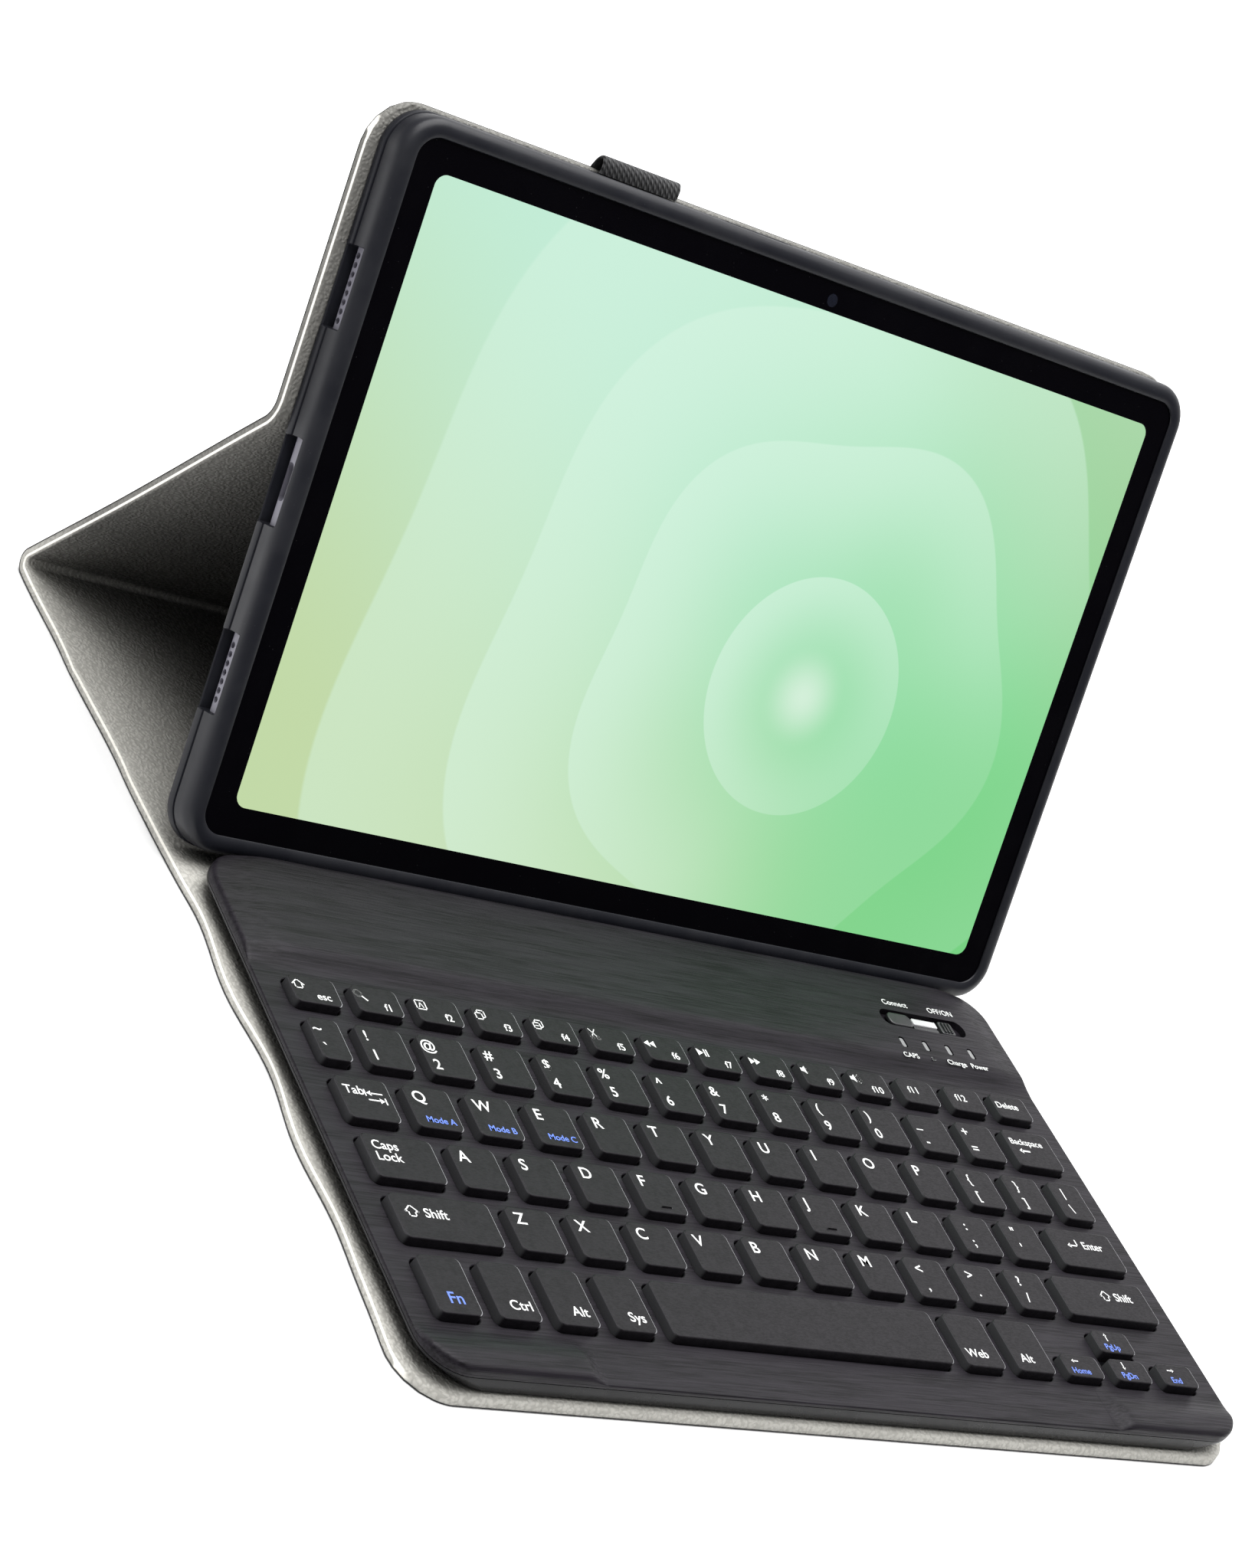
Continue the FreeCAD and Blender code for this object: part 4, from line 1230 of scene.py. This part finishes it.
def row_marks():
    """The printed marks of every key, by body."""
    marks = {}
    function = KEY_BOXES["keys_function"]
    signs = ("lens", "frame", "copy", "paste", "cut", "back", "play", "next", "quiet", "loud")
    found = []
    for i, box in enumerate(function):
        label = f"f{i + 1}"
        if i < len(signs):
            found.append(("white", "icon", signs[i], box[0] + 1.8, box[3] - 3.2, 3.9))
            found.append(("white", "text", label, box[1] - 2.9, box[2] + 1.5, 3.1, "RIGHT"))
        else:
            found.append(("white", "text", label, (box[0] + box[1]) / 2 - 1.6, box[2] + 3.7, 3.2, "CENTER"))
    marks["keys_function"] = found
    esc = KEY_BOXES["key_escape"][0]
    marks["key_escape"] = [("white", "icon", "home", esc[0] + 2.2, esc[3] - 3.1, 3.9),
                           ("white", "text", "esc", esc[1] - 2.8, esc[2] + 1.6, 3.0, "RIGHT")]
    delete = KEY_BOXES["key_delete"][0]
    middle = (delete[0] + delete[1]) / 2
    marks["key_delete"] = [("white", "text", "Delete", middle - 1.6, delete[2] + 3.7, 3.0, "CENTER")]

    found = []
    for box, pair in zip(KEY_BOXES["keys_number"], NUMBER_SIGNS):
        x = box[0] + (1.7 if pair == "~`" else 2.2)
        found.append(("white", "text", pair[0], x, box[3] - 4.9, 4.3, "CENTER"))
        found.append(("white", "text", pair[1], x + 0.4, box[2] + 2.2, 4.3, "CENTER"))
    marks["keys_number"] = found

    found = [corner_text(box, letter) for box, letter in zip(KEY_BOXES["keys_upper"], "QWERTYUIOP")]
    for box, letter in zip(KEY_BOXES["keys_upper"], "ABC"):
        middle = (box[0] + box[1]) / 2
        found.append(("blue", "text", f"Mode {letter}", middle + 0.6, box[2] + 2.0, 2.5, "CENTER"))
    found += stacked(KEY_BOXES["keys_upper"][10:], ("{[", "}]", "|\\"), 4.0, 2.4)
    marks["keys_upper"] = found

    found = [corner_text(box, letter) for box, letter in zip(KEY_BOXES["keys_home"], "ASDFGHJKL")]
    found += stacked(KEY_BOXES["keys_home"][9:], (":;", "\"'"), 4.2, 2.6)
    marks["keys_home"] = found

    found = [corner_text(box, letter) for box, letter in zip(KEY_BOXES["keys_lower"], "ZXCVBNM")]
    found += stacked(KEY_BOXES["keys_lower"][7:], ("<,", ">.", "?/"), 4.2, 2.6)
    marks["keys_lower"] = found

    tab = KEY_BOXES["key_tab"][0]
    marks["key_tab"] = [corner_text(tab, "Tab", 3.5, 1.4, 2.8),
                        ("white", "icon", "tab", tab[0] + 9.4, tab[3] - 5.6, 5.8)]
    caps = KEY_BOXES["key_caps_lock"][0]
    marks["key_caps_lock"] = [corner_text(caps, "Caps", 3.5, 2.0, 1.9),
                              corner_text(caps, "Lock", 3.5, 2.0, 5.2)]
    shift = KEY_BOXES["key_shift_left"][0]
    marks["key_shift_left"] = [("white", "icon", "shift", shift[0] + 4.6, shift[3] - 5.2, 4.4),
                               ("white", "text", "Shift", shift[0] + 7.8, shift[3] - 6.4, 3.6)]
    shift = KEY_BOXES["key_shift_right"][0]
    marks["key_shift_right"] = [("white", "icon", "shift", shift[1] - 15.6, shift[3] - 5.2, 4.4),
                                ("white", "text", "Shift", shift[1] - 12.4, shift[3] - 6.4, 3.6)]
    enter = KEY_BOXES["key_enter"][0]
    marks["key_enter"] = [("white", "icon", "enter", enter[0] + 7.4, enter[3] - 5.0, 4.6),
                          ("white", "text", "Enter", enter[0] + 10.8, enter[3] - 6.2, 3.4)]
    back = KEY_BOXES["key_backspace"][0]
    marks["key_backspace"] = [("white", "text", "Backspace", back[0] + 1.2, back[3] - 5.0, 2.9),
                              ("white", "icon", "left", back[0] + 5.0, back[3] - 7.2, 4.6)]
    for name, words, ink, size, shift in (("key_function_lock", "Fn", "blue", 4.4, 0.0),
                                          ("key_control", "Ctrl", "white", 3.7, 1.2),
                                          ("key_alt_left", "Alt", "white", 3.7, 1.4),
                                          ("key_home_screen", "Sys", "white", 3.7, 1.4),
                                          ("key_search", "Web", "white", 3.5, -1.4),
                                          ("key_alt_right", "Alt", "white", 3.6, -1.8)):
        box = KEY_BOXES[name][0]
        middle = (box[0] + box[1]) / 2 + shift
        marks[name] = [(ink, "text", words, middle, box[2] + 3.0, size, "CENTER")]
    for name, sign, words in (("key_left", "left", "Home"), ("key_up", "up", "PgUp"),
                              ("key_down", "down", "PgDn"), ("key_right", "right", "End")):
        box = KEY_BOXES[name][0]
        middle = (box[0] + box[1]) / 2 - 1.4
        marks[name] = [("white", "icon", sign, middle - 0.4, box[3] - 2.2, 2.8),
                       ("blue", "text", words, middle, box[2] + 1.2, 2.5, "CENTER")]
    return marks


def legends():
    """Prints every key's marks, and the words round the controls."""
    for body, marks in row_marks().items():
        print_marks(body, body, marks, KEY_TOP)
    words = [("white", "text", "Connect", 82.8, 50.4, 2.6), ("white", "text", "OFF/ON", 99.4, 50.2, 2.6)]
    for x, label in zip(INDICATORS_X, ("CAPS", None, "Charge", "Power")):
        if label:
            words.append(("white", "text", label, x, 30.9, 2.4, "CENTER"))
        else:
            words.append(("white", "icon", "wave", x, 31.8, 2.2))
    print_marks("rear_strip", "keyboard", words, STRIP_TOP, "board_plate")


# ---- keyboard ----

def board_ring(z, inset_x, inset_y, steps=12):
    """The keyboard's outline at one height, drawn in by some amount."""
    front = max(BOARD_FRONT_R - min(inset_x, inset_y), 1)
    rear = max(BOARD_REAR_R - min(inset_x, inset_y), 1)
    return ring(-BOARD_HALF + inset_x, BOARD_HALF - inset_x, BOARD_FRONT + inset_y, BOARD_REAR - inset_y,
                (front, front, rear, rear), z, steps)


# (z, inset across, inset front and rear) up the lower shell's wall
SHELL_PROFILE = ((2.9, 8.0, 1.4), (2.95, 7.2, 1.0), (3.3, 6.2, 0.5), (4.2, 4.5, 0.25),
                 (5.4, 2.4, 0.12), (6.3, 0.8, 0.06), (6.7, 0.15, 0.04), (7.28, 0.05, 0.04))
OPENING_GROW = 0.4


def keyboard_shell():
    """Lower shell: upright front, side walls that lean in towards the table."""
    verts, faces = loft([board_ring(*row) for row in SHELL_PROFILE])
    piece("keyboard_lower_shell", verts, faces, "keyboard", "board_shell", WALL, ("keyboard_shell",))


def keyboard_plate():
    """Top plate with a softened opening round every key."""
    grow = OPENING_GROW
    boxes = [box for name, group_boxes in KEY_BOXES.items() for box in group_boxes
             if name not in ("key_up", "key_down")]
    up = KEY_BOXES["key_up"][0]
    down = KEY_BOXES["key_down"][0]
    boxes.append((up[0], up[1], down[2], up[3]))
    holes = [ring(x0 - grow, x1 + grow, y0 - grow, y1 + grow, KEY_R + grow, 0, 6)
             for x0, x1, y0, y1 in boxes]
    mesh = plate_with_holes(board_ring(0, 0, 0, 16), holes, SHELL_TOP, PLATE_TOP, 0.28)
    finish_piece("keyboard_top_plate", mesh, "keyboard", "board_plate", PLATE, ("keyboard_plate",),
                 smooth=None)


def relief(x_places, y_places, height, low):
    """A closed block whose top follows a height function; low is the underside's z."""
    verts = []
    for y in y_places:
        for x in x_places(y):
            verts.append(Vector((x, y, height(x, y))))
    nx = len(x_places(y_places[0]))
    ny = len(y_places)
    count = nx * ny
    verts += [Vector((v.x, v.y, low)) for v in verts]
    faces = []
    for j in range(ny - 1):
        for i in range(nx - 1):
            a = j * nx + i
            faces.append((a, a + 1, a + nx + 1, a + nx))
            faces.append((a + count, a + nx + count, a + nx + 1 + count, a + 1 + count))
    rim = list(range(nx)) + [j * nx + nx - 1 for j in range(1, ny)]
    rim += [(ny - 1) * nx + i for i in range(nx - 2, -1, -1)] + [j * nx for j in range(ny - 2, 0, -1)]
    for a, b in zip(rim, rim[1:] + rim[:1]):
        faces.append((b, a, a + count, b + count))
    return verts, faces


SOFT_STEPS = (0.0, 0.06, 0.2, 0.45, 0.8, 1.2, 1.6)
SOFT_REACH = SOFT_STEPS[-1]
STRIP_EDGE = 1.3
STRIP_DROOP = 1.1
PAD_EDGE = 1.5


def half_at(over, corner):
    """Half the keyboard's width, by how far a place lies past the start of a round corner."""
    return BOARD_HALF - (corner - math.sqrt(max(0.0, corner ** 2 - over ** 2)) if over > 0 else 0)


def rear_strip():
    """Raised strip behind the keys: a soft rise, edges rounded off, and the controls' recess."""
    corner = BOARD_REAR_R
    flat = BOARD_REAR - corner

    def half(y):
        return half_at(y - flat, corner)

    def x_places(y):
        w = half(y)
        outer = [-w + d for d in SOFT_STEPS]
        inner = [(-w + SOFT_REACH) + 2 * (w - SOFT_REACH) * i / 60 for i in range(1, 60)]
        return outer + inner + [-x for x in reversed(outer)]

    def height(x, y):
        rise = smoothstep((y - STRIP_FOOT) / (STRIP_CREST - STRIP_FOOT))
        top = PLATE_TOP + RELIEF_SKIM + (STRIP_TOP - PLATE_TOP - RELIEF_SKIM) * rise
        top -= STRIP_DROOP * rise * (1 - smoothstep((half(y) - abs(x)) / 12.0))
        d = min(half(y) - abs(x), BOARD_REAR - y)
        if y > flat and abs(x) > BOARD_HALF - corner:
            d = corner - math.hypot(abs(x) - (BOARD_HALF - corner), y - flat)
        return top - STRIP_EDGE * (1 - round_over(max(d, 0.0), STRIP_EDGE)) * max(rise, 0.12)

    y_places = [STRIP_FOOT + (STRIP_CREST - STRIP_FOOT) * i / 14 for i in range(15)]
    y_places += [STRIP_CREST + (flat - STRIP_CREST) * i / 6 for i in range(1, 7)]
    y_places += [flat + corner * math.sin(math.radians(90 * i / 16)) for i in range(1, 16)]
    y_places += [BOARD_REAR - RELIEF_SKIM]
    verts, faces = relief(x_places, y_places, height, PLATE_TOP - RELIEF_SINK)
    mesh = bpy.data.meshes.new("strip")
    mesh.from_pydata([v * MM for v in verts], [], faces)
    above = STRIP_TOP + 1
    tools = [loft([ring(79.0, 110.0, 42.5, 48.3, 2.85, z, 8) for z in (STRIP_TOP - STRIP_RECESS, above)])]
    for x in INDICATORS_X:
        tools.append(loft([ring(x - 0.95, x + 0.95, 34.55, 38.25, 0.65, z, 4)
                           for z in (STRIP_TOP - 0.8, above)]))
    finish_piece("rear_strip_cover", cut(mesh, tools), "keyboard", "board_plate", PLATE, ("rear_strip",),
                 math.radians(30))


def corner_pad(side, label):
    """A raised pad in one front corner, with a soft step on its inner side."""
    corner = BOARD_FRONT_R
    flat = BOARD_FRONT + corner

    def half(y):
        return half_at(flat - y, corner)

    def x_places(y):
        w = half(y)
        places = [PAD_INNER + (w - SOFT_REACH - PAD_INNER) * (i / 30) ** 1.3 for i in range(31)]
        places += [w - d for d in reversed(SOFT_STEPS[:-1])]
        return [side * x for x in places]

    def height(x, y):
        along = smoothstep((abs(x) - PAD_INNER) / 6.0)
        back = smoothstep((PAD_REAR - y) / 8.5)
        outer = smoothstep((BOARD_HALF - abs(x)) / 3.0 + 0.35)
        lift = along * back * outer
        d = min(half(y) - abs(x), y - BOARD_FRONT)
        if y < flat and abs(x) > BOARD_HALF - corner:
            d = corner - math.hypot(abs(x) - (BOARD_HALF - corner), flat - y)
        top = PLATE_TOP + RELIEF_SKIM + (PAD_TOP - PLATE_TOP) * lift
        return top - PAD_EDGE * (1 - round_over(max(d, 0.0), PAD_EDGE)) * max(lift, 0.15)

    y_places = [BOARD_FRONT + RELIEF_SKIM] + [BOARD_FRONT + d for d in SOFT_STEPS[1:]]
    y_places += [BOARD_FRONT + SOFT_REACH + (PAD_REAR - BOARD_FRONT - SOFT_REACH) * i / 16
                 for i in range(1, 17)]
    verts, faces = relief(x_places, y_places, height, PLATE_TOP - RELIEF_SINK)
    piece(f"palm_pad_{label}", verts, faces, "keyboard", "board_plate", PLATE, (f"corner_pad_{label}",),
          math.radians(40))


def corner_pads():
    """The two raised pads, left and right of the user's palms."""
    for side, label in ((-1, "left"), (1, "right")):
        corner_pad(side, label)


def controls():
    """Connect button, switch knob, status light and indicator windows."""
    deep = STRIP_TOP - STRIP_RECESS
    verts, faces = rounded_block(82.0, 90.4, 43.1, 47.7, deep + 0.85, STRIP_TOP - 0.1, 1.8, 0.35)
    piece("connect_button_cap", verts, faces, "connect_button", "control", CONTROL, ("connect_button",))
    verts, faces = rounded_block(91.2, 100.0, 44.7, 47.0, deep, STRIP_TOP - 0.35, 0.4, 0.25)
    piece("status_light_lens", verts, faces, "keyboard", "light", MILK, ("status_light",))
    verts, faces = rounded_block(91.0, 100.2, 43.0, 44.6, deep, STRIP_TOP - 0.7, 0.3, 0.2)
    piece("status_light_sill", verts, faces, "keyboard", "control", CONTROL)
    blocks = [rounded_block(101.1, 106.1, 43.1, 47.7, deep + 0.05, STRIP_TOP - 0.3, 0.8, 0.3)]
    for x in (102.4, 103.6, 104.8):
        blocks.append(rounded_block(x - 0.3, x + 0.3, 43.6, 47.2, STRIP_TOP - 0.4, STRIP_TOP + 0.1,
                                    0.25, 0.15, steps=3))
    verts, faces = joined(blocks)
    piece("switch_knob_cap", verts, faces, "switch_knob", "control", CONTROL, ("switch_knob",))
    verts, faces = joined([rounded_block(x - 0.7, x + 0.7, 34.8, 38.0, STRIP_TOP - 0.8, STRIP_TOP - 0.15,
                                         0.55, 0.12, steps=4) for x in INDICATORS_X])
    piece("indicator_lenses", verts, faces, "keyboard", "light", SMOKE, ("indicator_windows",))


# ---- studio ----

FLOOR_HALF = 6.0


def floor():
    """A wide pale floor with a hardly visible unevenness."""
    material, tree, shader = start_material("pale floor", 0.9, Specular_IOR_Level=0.1)
    noise = add(tree, "ShaderNodeTexNoise", Scale=3.0)
    colour = mix(tree, noise.outputs["Fac"], (0.93, 0.93, 0.93), (0.95, 0.95, 0.95))
    tree.links.new(colour, shader.inputs["Base Color"])
    corners = [(x * FLOOR_HALF, y * FLOOR_HALF, 0) for x, y in ((-1, -1), (1, -1), (1, 1), (-1, 1))]
    mesh = bpy.data.meshes.new("floor")
    mesh.from_pydata(corners, [], [(0, 1, 2, 3)])
    mesh.materials.append(material)
    obj = bpy.data.objects.new("floor", mesh)
    bpy.context.scene.collection.objects.link(obj)


def soft_light(name, place, target, size, power):
    """A large soft light that faces its target."""
    data = bpy.data.lights.new(name, "AREA")
    data.shape = "RECTANGLE"
    data.size, data.size_y = size
    data.energy = power
    obj = bpy.data.objects.new(name, data)
    obj.location = place
    obj.rotation_euler = (Vector(target) - Vector(place)).to_track_quat("-Z", "Y").to_euler()
    bpy.context.scene.collection.objects.link(obj)


# (direction, begin and end of the glow by how nearly it is faced, strength)
SKY_GLOWS = (((0.80, 0.55, 0.24), 0.45, 0.98, 1.2), ((-0.92, 0.1, 0.38), 0.2, 0.95, 0.35),
             ((0, 0, 1), 0.2, 1.0, 0.45))
SKY_BASE = 0.10


def sky():
    """A studio that is bright behind on the right, paler on the left and dim in front."""
    world = bpy.data.worlds.new("studio")
    world.use_nodes = True
    tree = world.node_tree
    back = tree.nodes["Background"]
    place = tree.nodes.new("ShaderNodeTexCoord")
    total = SKY_BASE
    for direction, low, high, share in SKY_GLOWS:
        toward = tree.nodes.new("ShaderNodeVectorMath")
        toward.operation = "DOT_PRODUCT"
        toward.inputs[1].default_value = direction
        tree.links.new(place.outputs["Generated"], toward.inputs[0])
        glow = ramp(tree, toward.outputs["Value"], low, high, 0.0, share)
        total = math_node(tree, "ADD", glow, total)
    tree.links.new(total, back.inputs["Strength"])
    back.inputs["Color"].default_value = (1, 1, 1, 1)
    bpy.context.scene.world = world


def studio():
    """Floor, surroundings and one broad light overhead."""
    floor()
    sky()
    soft_light("overhead", (-0.02, 0.25, 1.5), (0, 0.05, 0), (1.7, 1.5), 46)
    bpy.context.scene.view_settings.view_transform = "Standard"


VIEW_AZIMUTH = math.radians(45.24)
VIEW_DOWN = math.radians(25.97)
VIEW_ROLL = math.radians(36.77)
VIEW_FROM = (-0.5699, -0.4749, 0.4235)
LENS_LENGTH = 82.8
SENSOR_WIDTH = 36


def camera():
    """Looks down over the left front corner, turned so that the case leans across the frame."""
    azimuth = VIEW_AZIMUTH
    down = VIEW_DOWN
    roll = VIEW_ROLL
    view = Vector((math.sin(azimuth) * math.cos(down), math.cos(azimuth) * math.cos(down), -math.sin(down)))
    level = view.cross(Vector((0, 0, 1))).normalized()
    upright = level.cross(view)
    right = level * math.cos(roll) + upright * math.sin(roll)
    up = upright * math.cos(roll) - level * math.sin(roll)
    turn = Matrix((right, up, -view)).transposed().to_4x4()
    data = bpy.data.cameras.new("camera")
    data.lens = LENS_LENGTH
    data.sensor_width = SENSOR_WIDTH
    obj = bpy.data.objects.new("camera", data)
    obj.matrix_world = Matrix.Translation(VIEW_FROM) @ turn
    bpy.context.scene.collection.objects.link(obj)
    bpy.context.scene.camera = obj


camera()
studio()
folio()
tray()
pen_loop()
button_covers()
keyboard_shell()
keyboard_plate()
rear_strip()
corner_pads()
controls()
key_caps()
legends()
for node, finish in (("tablet_body", METAL), ("tablet_glass", GLASS), ("tablet_display", SCREEN),
                     ("port_tongue", CONTROL), ("rear_camera_rim", METAL), ("rear_camera_lens", LENS),
                     ("front_camera", LENS), ("keyboard_feet", RUBBER)):
    repaint(node, finish)
